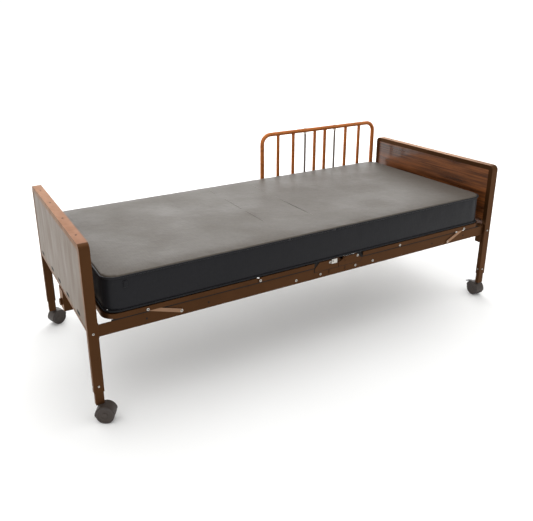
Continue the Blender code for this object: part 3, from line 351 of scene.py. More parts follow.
def from_frame(node, key, edge=None):
    """A frame shape as a piece of its own, with its flat faces made whole and its hard edges eased."""
    piece = copied(frame["nodes"][node], f"{node}_piece")
    piece.parent = None
    piece.matrix_world = Matrix.Identity(4)
    choose(piece)
    bpy.ops.mesh.customdata_custom_splitnormals_clear()
    bpy.ops.object.mode_set(mode="EDIT")
    bpy.ops.mesh.select_all(action="SELECT")
    bpy.ops.mesh.remove_doubles(threshold=1e-5)
    bpy.ops.mesh.dissolve_limited(angle_limit=math.radians(0.5))
    eased(piece, edge or sizes().edge)
    dress(piece, key)
    slot = {part["node"]: part["material_slot"] for part in frame["record"]["subparts"]}[node]
    return fit(piece, BODY_OF[node], slot, node)


def sizes():
    return bpy.context.scene.bed_sizes


def colours():
    return bpy.context.scene.bed_colours


# --- materials ---
def add_node(tree, kind, inputs=None, **settings):
    """Add a node; an input takes a value or another node's output."""
    made = tree.nodes.new(kind)
    for key, value in settings.items():
        setattr(made, key, value)
    for key, value in (inputs or {}).items():
        if isinstance(value, bpy.types.NodeSocket):
            tree.links.new(value, made.inputs[key])
        else:
            made.inputs[key].default_value = value
    return made


def feed(shader, name, output):
    """Let a pattern drive one of the shader's inputs."""
    shader.id_data.links.new(output, shader.inputs[name])


def new_material(name, colour, metallic=0.0, roughness=0.5, **shader_inputs):
    """A material with its constants on the shader, its node tree, its shader and its object coordinates."""
    material = bpy.data.materials.new(name)
    material.use_nodes = True
    tree = material.node_tree
    shader = tree.nodes["Principled BSDF"]
    values = {"Base Color": colour, "Metallic": metallic, "Roughness": roughness, **shader_inputs}
    for key, value in values.items():
        shader.inputs[key].default_value = value
    coordinates = add_node(tree, "ShaderNodeTexCoord").outputs["Object"]
    return material, tree, shader, coordinates


def speckle(tree, coordinates, spacing, detail=2.0, stretch=(1, 1, 1), roughness=0.5):
    """Cloudy noise whose features are the given size in metres, stretched along an axis by a share."""
    scaled = add_node(
        tree, "ShaderNodeMapping", {"Vector": coordinates, "Scale": [part / spacing for part in stretch]}
    )
    cloud = add_node(
        tree, "ShaderNodeTexNoise",
        {"Vector": scaled.outputs["Vector"], "Scale": 1.0, "Detail": detail, "Roughness": roughness},
    )
    return cloud.outputs["Fac"]


def between(tree, factor, low, high, from_low=0.3, from_high=0.7):
    """A number that follows a pattern between two values."""
    ranged = add_node(
        tree, "ShaderNodeMapRange",
        {"Value": factor, "From Min": from_low, "From Max": from_high, "To Min": low, "To Max": high},
    )
    return ranged.outputs["Result"]


def tinted(tree, colour, factor, dark, light):
    """A colour made darker and lighter by a pattern."""
    shade = between(tree, factor, dark, light)
    mixed = add_node(tree, "ShaderNodeVectorMath", {0: list(colour)[:3], 1: shade}, operation="MULTIPLY")
    return mixed.outputs["Vector"]


def raised(tree, shader, height, distance):
    """Let a pattern stand up from the surface by a distance in metres."""
    bump = add_node(tree, "ShaderNodeBump", {"Height": height, "Distance": distance, "Strength": 1.0})
    feed(shader, "Normal", bump.outputs["Normal"])


def enamel(name, colour, roughness, coat, metallic=0.55):
    """Baked enamel on steel, with a little metal in it: even colour, a copper glint on the edges, and orange
    peel that is too fine to show, so drawn at 4 mm."""
    material, tree, shader, coordinates = new_material(
        name, colour, metallic=metallic, roughness=roughness,
        **{
            "Coat Weight": coat, "Coat Roughness": 0.12,
            "Specular IOR Level": 0.25, "Specular Tint": linear("#f0c39c"),
        },
    )
    cloud = speckle(tree, coordinates, 0.12, detail=3)
    feed(shader, "Base Color", tinted(tree, colour, cloud, 0.9, 1.1))
    haze = speckle(tree, coordinates, 0.03, detail=4)
    feed(shader, "Roughness", between(tree, haze, roughness - 0.04, roughness + 0.05))
    raised(tree, shader, speckle(tree, coordinates, 0.004), 0.00001)
    return material


def walnut_laminate():
    """Printed walnut laminate under a clear wear layer: glossy, with long level grain 6 mm wide and pores."""
    look = colours()
    material, tree, shader, coordinates = new_material(
        "walnut_melamine", look.walnut, roughness=0.3, **{"Coat Weight": 0.5, "Coat Roughness": 0.1}
    )
    bands = speckle(tree, coordinates, 0.006, detail=3, stretch=(1, 0.02, 1), roughness=0.55)
    broad = speckle(tree, coordinates, 0.035, detail=2, stretch=(1, 0.10, 1))
    pores = speckle(tree, coordinates, 0.0016, detail=1, stretch=(1, 0.03, 1))
    grain = add_node(tree, "ShaderNodeMath", {0: bands, 1: broad}, operation="MULTIPLY")
    share = between(tree, grain.outputs["Value"], 0.0, 1.0, 0.14, 0.36)
    mixed = add_node(
        tree, "ShaderNodeMix", {"Factor": share, "A": look.walnut_grain, "B": look.walnut}, data_type="RGBA"
    )
    pored = add_node(
        tree, "ShaderNodeVectorMath",
        {0: mixed.outputs["Result"], 1: between(tree, pores, 0.55, 1.0, 0.32, 0.42)}, operation="MULTIPLY",
    )
    feed(shader, "Base Color", pored.outputs["Vector"])
    feed(shader, "Roughness", between(tree, broad, 0.26, 0.36))
    raised(tree, shader, pores, 0.00005)
    return material


def beige_laminate():
    """Plain melamine laminate: satin beige with faint upright cloudiness and a fine pebbled press texture."""
    colour = colours().outer_panel
    material, tree, shader, coordinates = new_material(
        "beige_melamine", colour, roughness=0.42, **{"Specular IOR Level": 0.3}
    )
    streaks = speckle(tree, coordinates, 0.05, detail=4, stretch=(1, 1, 0.25))
    feed(shader, "Base Color", tinted(tree, colour, streaks, 0.94, 1.04))
    feed(shader, "Roughness", between(tree, streaks, 0.36, 0.5))
    raised(tree, shader, speckle(tree, coordinates, 0.003, detail=3), 0.00008)
    return material


def plated_steel(name, colour, roughness=0.32):
    """Zinc-plated steel: a metal with soft cloudy bloom and fine drawn lines."""
    material, tree, shader, coordinates = new_material(name, colour, metallic=1.0, roughness=roughness)
    bloom = speckle(tree, coordinates, 0.018, detail=5)
    feed(shader, "Base Color", tinted(tree, colour, bloom, 0.82, 1.08))
    feed(shader, "Roughness", between(tree, bloom, roughness - 0.08, roughness + 0.16))
    raised(tree, shader, speckle(tree, coordinates, 0.002, stretch=(0.1, 1, 1)), 0.00003)
    return material


def moulded_plastic(name, colour, roughness=0.5):
    """Injection-moulded plastic with a spark-eroded grain, drawn coarser than life so that it shows."""
    material, tree, shader, coordinates = new_material(
        name, colour, roughness=roughness, **{"Specular IOR Level": 0.3}
    )
    cloud = speckle(tree, coordinates, 0.05, detail=3)
    feed(shader, "Base Color", tinted(tree, colour, cloud, 0.88, 1.12))
    feed(shader, "Roughness", between(tree, cloud, roughness - 0.06, roughness + 0.1))
    raised(tree, shader, speckle(tree, coordinates, 0.0022, detail=2), 0.00012)
    return material


def coated_nylon(name, colour, roughness=0.5):
    """Woven nylon with a soft coating: plain weave drawn at 1.8 mm, slow dull clouding, shallow creases."""
    material, tree, shader, coordinates = new_material(
        name, colour, roughness=roughness,
        **{"Specular IOR Level": 0.12, "Sheen Weight": 0.04, "Sheen Roughness": 0.5},
    )
    cloud = speckle(tree, coordinates, 0.22, detail=5, roughness=0.6)
    dust = speckle(tree, coordinates, 0.012, detail=3)
    mottled = add_node(tree, "ShaderNodeMath", {0: cloud, 1: 0.7, 2: dust}, operation="MULTIPLY_ADD")
    evened = add_node(tree, "ShaderNodeMath", {0: mottled.outputs["Value"], 1: 0.59}, operation="MULTIPLY")
    feed(shader, "Base Color", tinted(tree, colour, evened.outputs["Value"], 0.88, 1.1))
    feed(shader, "Roughness", between(tree, cloud, roughness - 0.08, roughness + 0.08))
    thread, threads = 0.0018, []
    for direction in ("X", "Y"):
        wave = add_node(
            tree, "ShaderNodeTexWave", {"Vector": coordinates, "Scale": 1 / (20 * thread), "Distortion": 0.3},
            bands_direction=direction,
        )
        threads.append(wave.outputs["Fac"])
    weave = add_node(tree, "ShaderNodeMath", {0: threads[0], 1: threads[1]}, operation="MULTIPLY")
    crease = speckle(tree, coordinates, 0.05, detail=3)
    height = add_node(
        tree, "ShaderNodeMath", {0: crease, 1: 14.0, 2: weave.outputs["Value"]}, operation="MULTIPLY_ADD"
    )
    raised(tree, shader, height.outputs["Value"], 0.00010)
    return material


def soft_tread(name, colour):
    """Thermoplastic rubber tread: dull, finely scuffed and a little dusty."""
    material, tree, shader, coordinates = new_material(name, colour, roughness=0.7)
    scuff = speckle(tree, coordinates, 0.01, detail=6)
    feed(shader, "Base Color", tinted(tree, colour, scuff, 0.8, 1.35))
    raised(tree, shader, speckle(tree, coordinates, 0.0015), 0.0001)
    return material


def material(key):
    """Each material is made once, when a piece first needs it."""
    look = colours()
    makers = {
        "steel_brown_enamel": lambda: enamel("steel_brown_enamel", look.enamel, 0.34, 0.0),
        "steel_copper_enamel": lambda: enamel("steel_copper_enamel", look.rail, 0.28, 0.2, 0.35),
        "steel_pale_enamel": lambda: enamel("steel_pale_enamel", look.link, 0.38, 0.0),
        "walnut_melamine": walnut_laminate,
        "beige_melamine": beige_laminate,
        "zinc_plated_steel": lambda: plated_steel("zinc_plated_steel", look.zinc),
        "satin_steel": lambda: plated_steel("satin_steel", look.post, 0.5),
        "black_abs": lambda: moulded_plastic("black_abs", look.plastic),
        # Painted shade for holes, slots, sockets and gaps, made like a dark plastic.
        "painted_recess_shade": lambda: moulded_plastic("painted_recess_shade", look.shade_in_recesses, 0.8),
        "caster_nylon": lambda: moulded_plastic("caster_nylon", look.caster, 0.42),
        "white_nylon": lambda: moulded_plastic("white_nylon", look.cap, 0.45),
        "caster_tread": lambda: soft_tread("caster_tread", look.tread),
        "mattress_top": lambda: coated_nylon("mattress_top", look.mattress_top),
        "mattress_side": lambda: coated_nylon("mattress_side", look.mattress_side, 0.42),
    }
    return bpy.data.materials.get(key) or makers[key]()


# --- operators ---
class BedOperator:
    """What the bed's operators share."""

    bl_options = {"REGISTER", "UNDO"}

    def execute(self, context):
        self.build()
        return {"FINISHED"}


class BED_OT_ends(BedOperator, bpy.types.Operator):
    """Bed ends: arched channel, laminate panels, gearbox and inner legs."""

    bl_idname = "bed.ends"
    bl_label = "Bed Ends"

    def build(self):
        for end in ENDS:
            from_frame(f"{end}_end_frame", "steel_brown_enamel", 2 * sizes().edge)
            from_frame(f"{end}_panel_outer", "beige_melamine")
            from_frame(f"{end}_panel_inner", "walnut_melamine")
            from_frame(f"{end}_gearbox", "steel_brown_enamel", 3 * sizes().edge)
            from_frame(f"{end}_legs", "steel_brown_enamel")
            from_frame(f"{end}_lift_screw", "zinc_plated_steel")
            self.end_screws(end)
            self.panel_slot_shades(end)

    def panel_slot_shades(self, end):
        """Dark inlays in the row of slots along the outer panel's lower edge: painted shade in the slots."""
        way = 1 if end == "head" else -1
        low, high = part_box(f"{end}_panel_outer")
        face = high.x if way > 0 else low.x
        shade_inlays = []
        for share in SLOT_SHADE_SHARES:
            shade_inlay = cube("painted_shade_inlay", (-0.0243, -0.0073, 0), (0.0243, 0.0073, 0.0030))
            pick(shade_inlay, "EDGE", lambda edge: abs(edge.verts[0].co.z - edge.verts[1].co.z) > 0.001)
            bpy.ops.mesh.bevel(offset=0.0072, segments=8, affect="EDGES")
            dress(eased(shade_inlay, 0.0005), "painted_recess_shade")
            shade_inlay.rotation_euler = (math.pi / 2, 0, math.pi / 2)
            shade_inlay.location = (face - (0.0035 if way > 0 else -0.0005), share * END_FACE, low.z + 0.017)
            shade_inlays.append(apply_place(shade_inlay))
        group(f"{end}_panel_slot_shades", shade_inlays, "bed_frame", "black_plastic")

    def end_screws(self, end):
        """Glide screws on the legs of the arch, and thin dark discs along its top that stand for small holes:
        painted shade in the holes.
        """
        low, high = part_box(f"{end}_end_frame")
        middle = (low.x + high.x) / 2
        lower, upper, inset = 0.028, 0.262, 0.012
        heads = []
        for side in HANDS.values():
            for height in (lower, upper):
                place = (middle, side * high.y, low.z + height)
                heads.append(screw_head("side_glide", place, (0, side, 0)))
            for face, way in ((low.x, -1), (high.x, 1)):
                place = (face, side * (high.y - inset), low.z + lower)
                heads.append(screw_head("end_glide", place, (way, 0, 0)))
        group(f"{end}_end_screws", heads, "bed_frame", "brown_enamel")
        hole_shades = []
        for side in HANDS.values():
            for y in TOP_HOLES:
                # A thin disc of painted shade over each hole.
                hole = dress(cylinder("hole", HOLE_RADIUS, 0.0004, 20), "painted_recess_shade")
                hole_shades.append(set_down(hole, (middle, side * y, high.z)))
        group(f"{end}_top_hole_shades", hole_shades, "bed_frame", "black_plastic")


def screw_head(kind, place, towards):
    """A low round head with a sunk socket whose walls and floor are painted dark as shade, set down facing a
    direction.
    """
    radius, height = SCREW_SIZES[kind]
    head = cylinder("screw", radius, height, 24)
    pick(head, "FACE", lambda face: face.normal.z > 0.9)
    grow(thickness=radius * 0.5)
    grow(out=-height * 0.6)
    dress(eased(head, height * 0.2), "zinc_plated_steel", "painted_recess_shade")
    # The socket's faces get the painted shade.
    for face in head.data.polygons:
        in_recess_shade = face.center.z < height * 0.6 and face.center.xy.length < radius * 0.5
        face.material_index = int(in_recess_shade)
    return set_down(head, place, towards)


class BED_OT_side_rails(BedOperator, bpy.types.Operator):
    """Side rails, cross members and the raised joint plates in their middle."""

    bl_idname = "bed.side_rails"
    bl_label = "Side Rails"

    def build(self):
        for hand, side in HANDS.items():
            for end in ENDS:
                from_frame(f"{end}_{hand}_side_rail", "steel_brown_enamel")
                self.joint_plate(end, hand, side)
            self.centre_bracket(hand, side)
            self.painted_shade_strips(hand, side)
        for name in ("hilo", "knee", "seat", "head"):
            from_frame(f"{name}_cross_member", "steel_brown_enamel")

    def centre_bracket(self, hand, side):
        """The plated bracket that stands in the notch between the joint plates, with its screw."""
        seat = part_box("seat_deck")[1].z
        low_x, high_x, y = 0.034, 0.066, side * (RAIL_FACE + 0.0026)
        ys = sorted((y, y + side * 0.0022))
        bracket = cube("bracket", (low_x, ys[0], seat - 0.020), (high_x, ys[1], seat + 0.0022))
        pick(bracket, "FACE", lambda face: face.normal.y * side > 0.9)
        grow(thickness=0.004, out=-0.0012)
        dress(eased(bracket, 0.0006), "zinc_plated_steel")
        head = screw_head("bracket", (0.044, y + side * 0.001, seat - 0.008), (0, side, 0))
        group(f"centre_{hand}_bracket", [bracket, head], "bed_frame", "zinc")

    def painted_shade_strips(self, hand, side):
        """Dark strips along the top of the rails, painted shade in the gap under the deck's rim; the tall ones
        fill the openings beyond the joint plates' slopes with painted shade.
        """
        low_top, tall_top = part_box("foot_frame")[0].z - 0.0006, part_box("foot_near_side_rail")[1].z + 0.0015
        bottom = low_top - 0.0082
        ys = sorted((side * (RAIL_FACE - 0.0004), side * (RAIL_FACE - 0.0026)))
        shade_strips = []
        for low_x, high_x, tall in PAINTED_SHADE_STRIPS:
            shade_strip = cube("shade_strip", (low_x, ys[0], bottom), (high_x, ys[1], tall_top if tall else low_top))
            shade_strips.append(dress(eased(shade_strip, 0.0004), "painted_recess_shade"))
        group(f"rest_{hand}_strips", shade_strips, "bed_frame", "black_plastic")

    def joint_plate(self, end, hand, side):
        """A second plate riveted over the rail, sloped at both ends, with a painted shadow line round it: a dark
        copy just behind it, a little larger.
        """
        way = 1 if end == "head" else -1
        low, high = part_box(f"{end}_{hand}_side_rail")
        split = low.x if way > 0 else high.x
        far_end, rail_top = split + way * PLATE_REACH, high.z - PLATE_RISE
        bottom, top, face = rail_top - PLATE_LAP, high.z - 0.0005, side * (RAIL_FACE + PLATE_THICK)
        xs, ys = sorted((split + way * 0.001, far_end)), sorted((side * RAIL_FACE, face))
        plate = cube("plate", (xs[0], ys[0], bottom), (xs[1], ys[1], top))
        sliced(plate, (far_end, 0, rail_top), (way * PLATE_RISE, 0, PLATE_SLOPE))
        sliced(plate, (split, 0, rail_top + 0.004), (-way * 0.43, 0, 0.90))
        hole = cylinder("hole", HOLE_RADIUS, 4 * PLATE_THICK, 20)
        place = (split + way * 0.037, side * (RAIL_FACE - PLATE_THICK), rail_top + 0.008)
        cut_away(plate, set_down(hole, place, (0, side, 0)))
        dress(eased(plate, sizes().edge / 2), "steel_brown_enamel")
        # Painted shadow line: a flattened, slightly larger dark copy behind the plate that shows round its edges.
        painted_shadow_line = dress(copied(plate, "painted_shadow_line"), "painted_recess_shade")
        centre = Matrix.Translation((split, side * RAIL_FACE, top))
        painted_shadow_line.data.transform(centre @ Matrix.Diagonal((1.022, 0.3, 1.06, 1)) @ centre.inverted())
        group(f"{end}_{hand}_joint_plate", [plate, painted_shadow_line], "bed_frame", "brown_enamel")
        self.joint_fixings(f"{end}_{hand}_joint", side, way, split, face, bottom)

    def joint_fixings(self, label, side, way, split, face, bottom):
        """The hinge pin's head and a screw on a joint plate, and dark inlays of painted shade: one in the slot,
        and one as a shadow line along the plate's lower edge.
        """
        hinge = JOINTS["back_hinge" if way > 0 else "thigh_hinge"]["pos_m"]
        heads = [
            pivot_head((hinge[0], face, hinge[2] - 0.003), side),
            screw_head("joint", (split + way * 0.103, side * RAIL_FACE, 0.394), (0, side, 0)),
        ]
        group(f"{label}_screws", heads, "bed_frame", "zinc")
        slot_x, step_x = split + (0.041 if way > 0 else -0.053), split + way * 0.068
        slot_shades = [
            painted_shade_inlay("slot", (slot_x, side * RAIL_FACE, 0.397), (0.0045, 0.022), side),
            painted_shade_inlay("step", (step_x, side * RAIL_FACE, bottom - 0.0012), (0.130, 0.0016), side),
        ]
        group(f"{label}_slots", slot_shades, "bed_frame", "black_plastic")


def painted_shade_inlay(name, place, size, side):
    """A dark inlay of painted shade for a slot or a shadow line, long by high, on an upright face that looks along
    Y.
    """
    back, front = sorted((0, side * 0.0005))
    shade_inlay = cube(name, (-size[0] / 2, back, -size[1] / 2), (size[0] / 2, front, size[1] / 2))
    return set_down(dress(eased(shade_inlay, 0.0002), "painted_recess_shade"), place)


def pivot_head(place, side):
    """A plated pivot head on a rail's or link's outer face: a flange, a raised ring, and a sunk centre whose floor
    is painted dark as shade.
    """
    radius = sizes().rivet
    head = cylinder("pivot", radius, 0.0012, 32)
    pick(head, "FACE", lambda face: face.normal.z > 0.9)
    grow(thickness=radius * 0.18, out=0.0012)
    grow(thickness=radius * 0.34, out=-0.0010)
    dress(eased(head, 0.0003), "zinc_plated_steel", "painted_recess_shade")
    # The floor of the sunk centre gets the painted shade.
    for face in head.data.polygons:
        in_recess_shade = face.center.z < 0.0018 and face.center.xy.length < radius * 0.5 and face.normal.z > 0.5
        face.material_index = int(in_recess_shade)
    return set_down(head, place, (0, side, 0))


class BED_OT_deck(BedOperator, bpy.types.Operator):
    """Deck frames with their sheets, the seat deck and the two links."""

    bl_idname = "bed.deck"
    bl_label = "Deck"

    def build(self):
        for name in ("back", "thigh", "foot"):
            from_frame(f"{name}_frame", "steel_brown_enamel")
            from_frame(f"{name}_sheet", "zinc_plated_steel", sizes().edge / 2)
        from_frame("seat_deck", "steel_brown_enamel")
        for end in ENDS:
            from_frame(f"{end}_link", "steel_pale_enamel")


class BED_OT_pivots(BedOperator, bpy.types.Operator):
    """Plated heads on the pivots of the deck, links and lift arms."""

    bl_idname = "bed.pivots"
    bl_label = "Pivots"

    def build(self):
        link_low, link_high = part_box("foot_link")
        head_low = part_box("head_link")[0]
        link_face, inset = link_high.y, 0.008
        knee, lift_head, lift_knee, swing, head_top = (
            JOINTS[name]["pos_m"]
            for name in ("knee_hinge", "head_lift", "knee_lift", "foot_link_hinge", "head_link_hinge")
        )
        places = {
            "knee": ("foot_section", knee[0], DECK_FACE, knee[2]),
            "foot_link_top": ("foot_section", link_low.x + inset, DECK_FACE, link_high.z - inset),
            "foot_link_low": ("foot_link", swing[0], link_face, swing[2]),
            "head_link_top": ("head_link", head_top[0], DECK_FACE, head_top[2]),
            # Sunk in, because the back section's rim passes half a millimetre outside the folded link.
            "head_link_low": ("head_link", head_low.x + inset, link_face - 0.0020, head_low.z + inset),
            "back_tie": ("back_section", 0.455, DECK_FACE, head_top[2]),
            "head_lift": ("bed_frame", lift_head[0], RAIL_FACE, lift_head[2]),
            "knee_lift": ("bed_frame", lift_knee[0], RAIL_FACE, lift_knee[2]),
        }
        for name, (body, x, y, z) in places.items():
            heads = [pivot_head((x, side * y, z), side) for side in HANDS.values()]
            group(f"{name}_pivots", heads, body, "zinc")
        self.rail_hole_shades()

    def rail_hole_shades(self):
        """Small dark discs in the unused holes along the side rails: painted shade in the holes."""
        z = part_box("foot_near_side_rail")[0].z + 0.030
        shade_inlays = []
        for x in RAIL_HOLES:
            for side in HANDS.values():
                shade_inlay = cylinder("painted_shade_inlay", HOLE_RADIUS, 0.0005, 20)
                pick(shade_inlay, "FACE", lambda face: face.normal.z > 0.9)
                grow(thickness=0.0008, out=-0.0003)
                set_down(shade_inlay, (x, side * RAIL_FACE, z), (0, side, 0))
                shade_inlays.append(dress(shade_inlay, "painted_recess_shade"))
        group("rail_hole_shade_discs", shade_inlays, "bed_frame", "black_plastic")


class BED_OT_drives(BedOperator, bpy.types.Operator):
    """Lift arms, pull rods, motors, drive shaft and control box."""

    bl_idname = "bed.drives"
    bl_label = "Drives"

    def build(self):
        for end in ("head", "knee"):
            from_frame(f"{end}_lift_arm", "zinc_plated_steel")
            from_frame(f"{end}_pull_rod", "zinc_plated_steel")
            from_frame(f"{end}_motor", "black_abs", 4 * sizes().edge)
            low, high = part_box(f"{end}_motor")
            x = high.x - GEAR_CASE if end == "head" else low.x + GEAR_CASE
            self.case_screws(f"{end}_motor", (x, (low.y + high.y) / 2, GEAR_CASE_LOW), 0.028)
        from_frame("hilo_motor", "black_abs", 4 * sizes().edge)
        low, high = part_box("hilo_motor")
        underside = JOINTS["drive_shaft_spin"]["pos_m"][2] - 0.0567
        self.case_screws("hilo_motor", ((low.x + high.x) / 2, 0.0, underside), 0.030)
        from_frame("drive_shaft", "zinc_plated_steel")
        from_frame("control_box", "black_abs", 3 * sizes().edge)

    def case_screws(self, node, centre, spread):
        """Four cover screws on the underside of a motor's gear case."""
        x, y, z = centre
        heads = [
            screw_head("case", (x + a * spread * 0.8, y + b * spread, z), (0, 0, -1))
            for a in (-1, 1)
            for b in (-1, 1)
        ]
        group(f"{node}_screws", heads, "bed_frame", "zinc")


class BED_OT_casters(BedOperator, bpy.types.Operator):
    """Casters: hoods, brake pedals, and wheels with a soft tread and dished centres."""

    bl_idname = "bed.casters"
    bl_label = "Casters"

    def build(self):
        wheel = self.wheel()
        for end in ENDS:
            for hand in HANDS:
                label = f"{end}_{hand}_caster"
                from_frame(f"{label}_hood", "caster_nylon", 1.5 * sizes().edge)
                self.wheel_pair(label, wheel)
                if end == "head":
                    from_frame(f"{label}_brake", "black_abs", 1.5 * sizes().edge)
        bpy.data.objects.remove(wheel)

    def wheel(self):
        """One wheel about Z: rounded tread, a step down to the centre, and a domed hub cap."""
        radius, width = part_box("foot_far_caster_wheels")[1].z / 2, sizes().wheel_width
        wheel = cylinder("wheel", radius, width, 56)
        for way in (1, -1):
            pick(wheel, "FACE", lambda face: face.normal.z * way > 0.9 and len(face.verts) > 8)
            grow(thickness=radius * 0.20, out=-width * 0.10)
            grow(thickness=radius * 0.06)
            grow(thickness=radius * 0.28, out=-width * 0.06)
            grow(thickness=radius * 0.16, out=width * 0.10)
            grow(thickness=radius * 0.05, out=width * 0.02)
        dress(eased(wheel, 0.0016, 3, 50), "caster_tread", "caster_nylon")
        for face in wheel.data.polygons:
            face.material_index = int(face.center.xy.length < radius * 0.80)
        return wheel

    def wheel_pair(self, label, wheel):
        joint = JOINTS[f"{label}_roll"]
        centre, axle = Vector(joint["pos_m"]), Vector(joint["axis"])
        reach = (sizes().caster_width - sizes().wheel_width) / 2
        halves = []
        for way in (1, -1):
            half = copied(wheel, "wheel_half")
            half.data.transform(Matrix.Translation((0, 0, -sizes().wheel_width / 2)))
            halves.append(set_down(half, centre + axle * way * reach, axle * way))
        axle_bar = dress(cylinder("axle", 0.0038, 2 * reach, 24), "zinc_plated_steel")
        halves.append(set_down(axle_bar, centre - axle * reach, axle))
        group(f"{label}_wheel_pair", halves, f"{label}_wheels", "black_plastic", f"{label}_wheels")


class BED_OT_half_rail(BedOperator, bpy.types.Operator):
    """Half rail: bent tube, bars with weld rings, posts with caps, bracket and knobs."""

    bl_idname = "bed.half_rail"
    bl_label = "Half Rail"

    def build(self):
        low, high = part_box("half_rail_frame")
        tube = sizes().rail_tube
        self.y = (low.y + high.y) / 2
        self.left, self.right = low.x + tube, high.x - tube
        self.low, self.high = low.z + tube, high.z - tube
        tubes = [self.loop(), *self.bars()]
        group("half_rail_tube", tubes, "half_rail", "copper_enamel", "half_rail_frame")
        for end in ENDS:
            from_frame(f"half_rail_{end}_post", "satin_steel")
            from_frame(f"half_rail_{end}_knob", "black_abs", 2 * sizes().edge)
            self.post_caps(end)
        from_frame("half_rail_bracket", "steel_brown_enamel")
        self.bracket_bolts()

    def loop(self):
        """The bent tube, from a rectangle with its corners rounded."""
        centre = ((self.left + self.right) / 2, self.y, (self.low + self.high) / 2)
        loop = tube_loop(
            "loop", (self.right - self.left, self.high - self.low), centre, sizes().rail_bend,
            sizes().rail_tube, 6, turn=(math.pi / 2, 0, 0),
        )
        return dress(loop, "steel_copper_enamel")

    def bars(self):
        made = []
        for place in BAR_PLACES:
            x = self.left + place
            bar = cylinder("bar", sizes().rail_bar, self.high - self.low, 28)
            eased(bar, 0.0004)
            made.append(set_down(bar, (x, self.y, self.low)))
            for z in (self.low + sizes().rail_tube - 0.001, self.high - sizes().rail_tube + 0.001):
                deselect()
                bpy.ops.mesh.primitive_torus_add(
                    location=(x, self.y, z), major_radius=sizes().rail_bar, minor_radius=0.0017,
                    major_segments=28, minor_segments=8,
                )
                bpy.ops.object.shade_smooth()
                made.append(apply_place(added("weld")))
        return [dress(bar, "steel_copper_enamel") for bar in made]

    def post_caps(self, end):
        """Pale nylon caps where a post meets the top and bottom tubes."""
        low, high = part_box(f"half_rail_{end}_post")
        x = (low.x + high.x) / 2
        caps = []
        top = self.high + sizes().rail_tube
        for z, way in ((high.z - 0.012, 1), (top - 0.0004, 1), (low.z + 0.010, -1)):
            cap = cylinder("cap", 0.0088, 0.0115 if z < top - 0.001 else 0.0032, 28)
            dress(eased(cap, 0.0012, 3), "white_nylon")
            caps.append(set_down(cap, (x, self.y, z), (0, 0, way)))
        group(f"half_rail_{end}_caps", caps, "half_rail", "zinc")

    def bracket_bolts(self):
        low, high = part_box("half_rail_bracket")
        face, inset, spread = RAIL_FACE + 0.0043, 0.010, 0.03
        centre, middle = (low.x + high.x) / 2, (low.z + high.z) / 2
        heads = [
            screw_head("half_rail", (x, face, middle), (0, 1, 0))
            for x in (low.x + inset, high.x - inset, centre - spread, centre + spread)
        ]
        group("half_rail_bracket_bolts", heads, "bed_frame", "zinc")


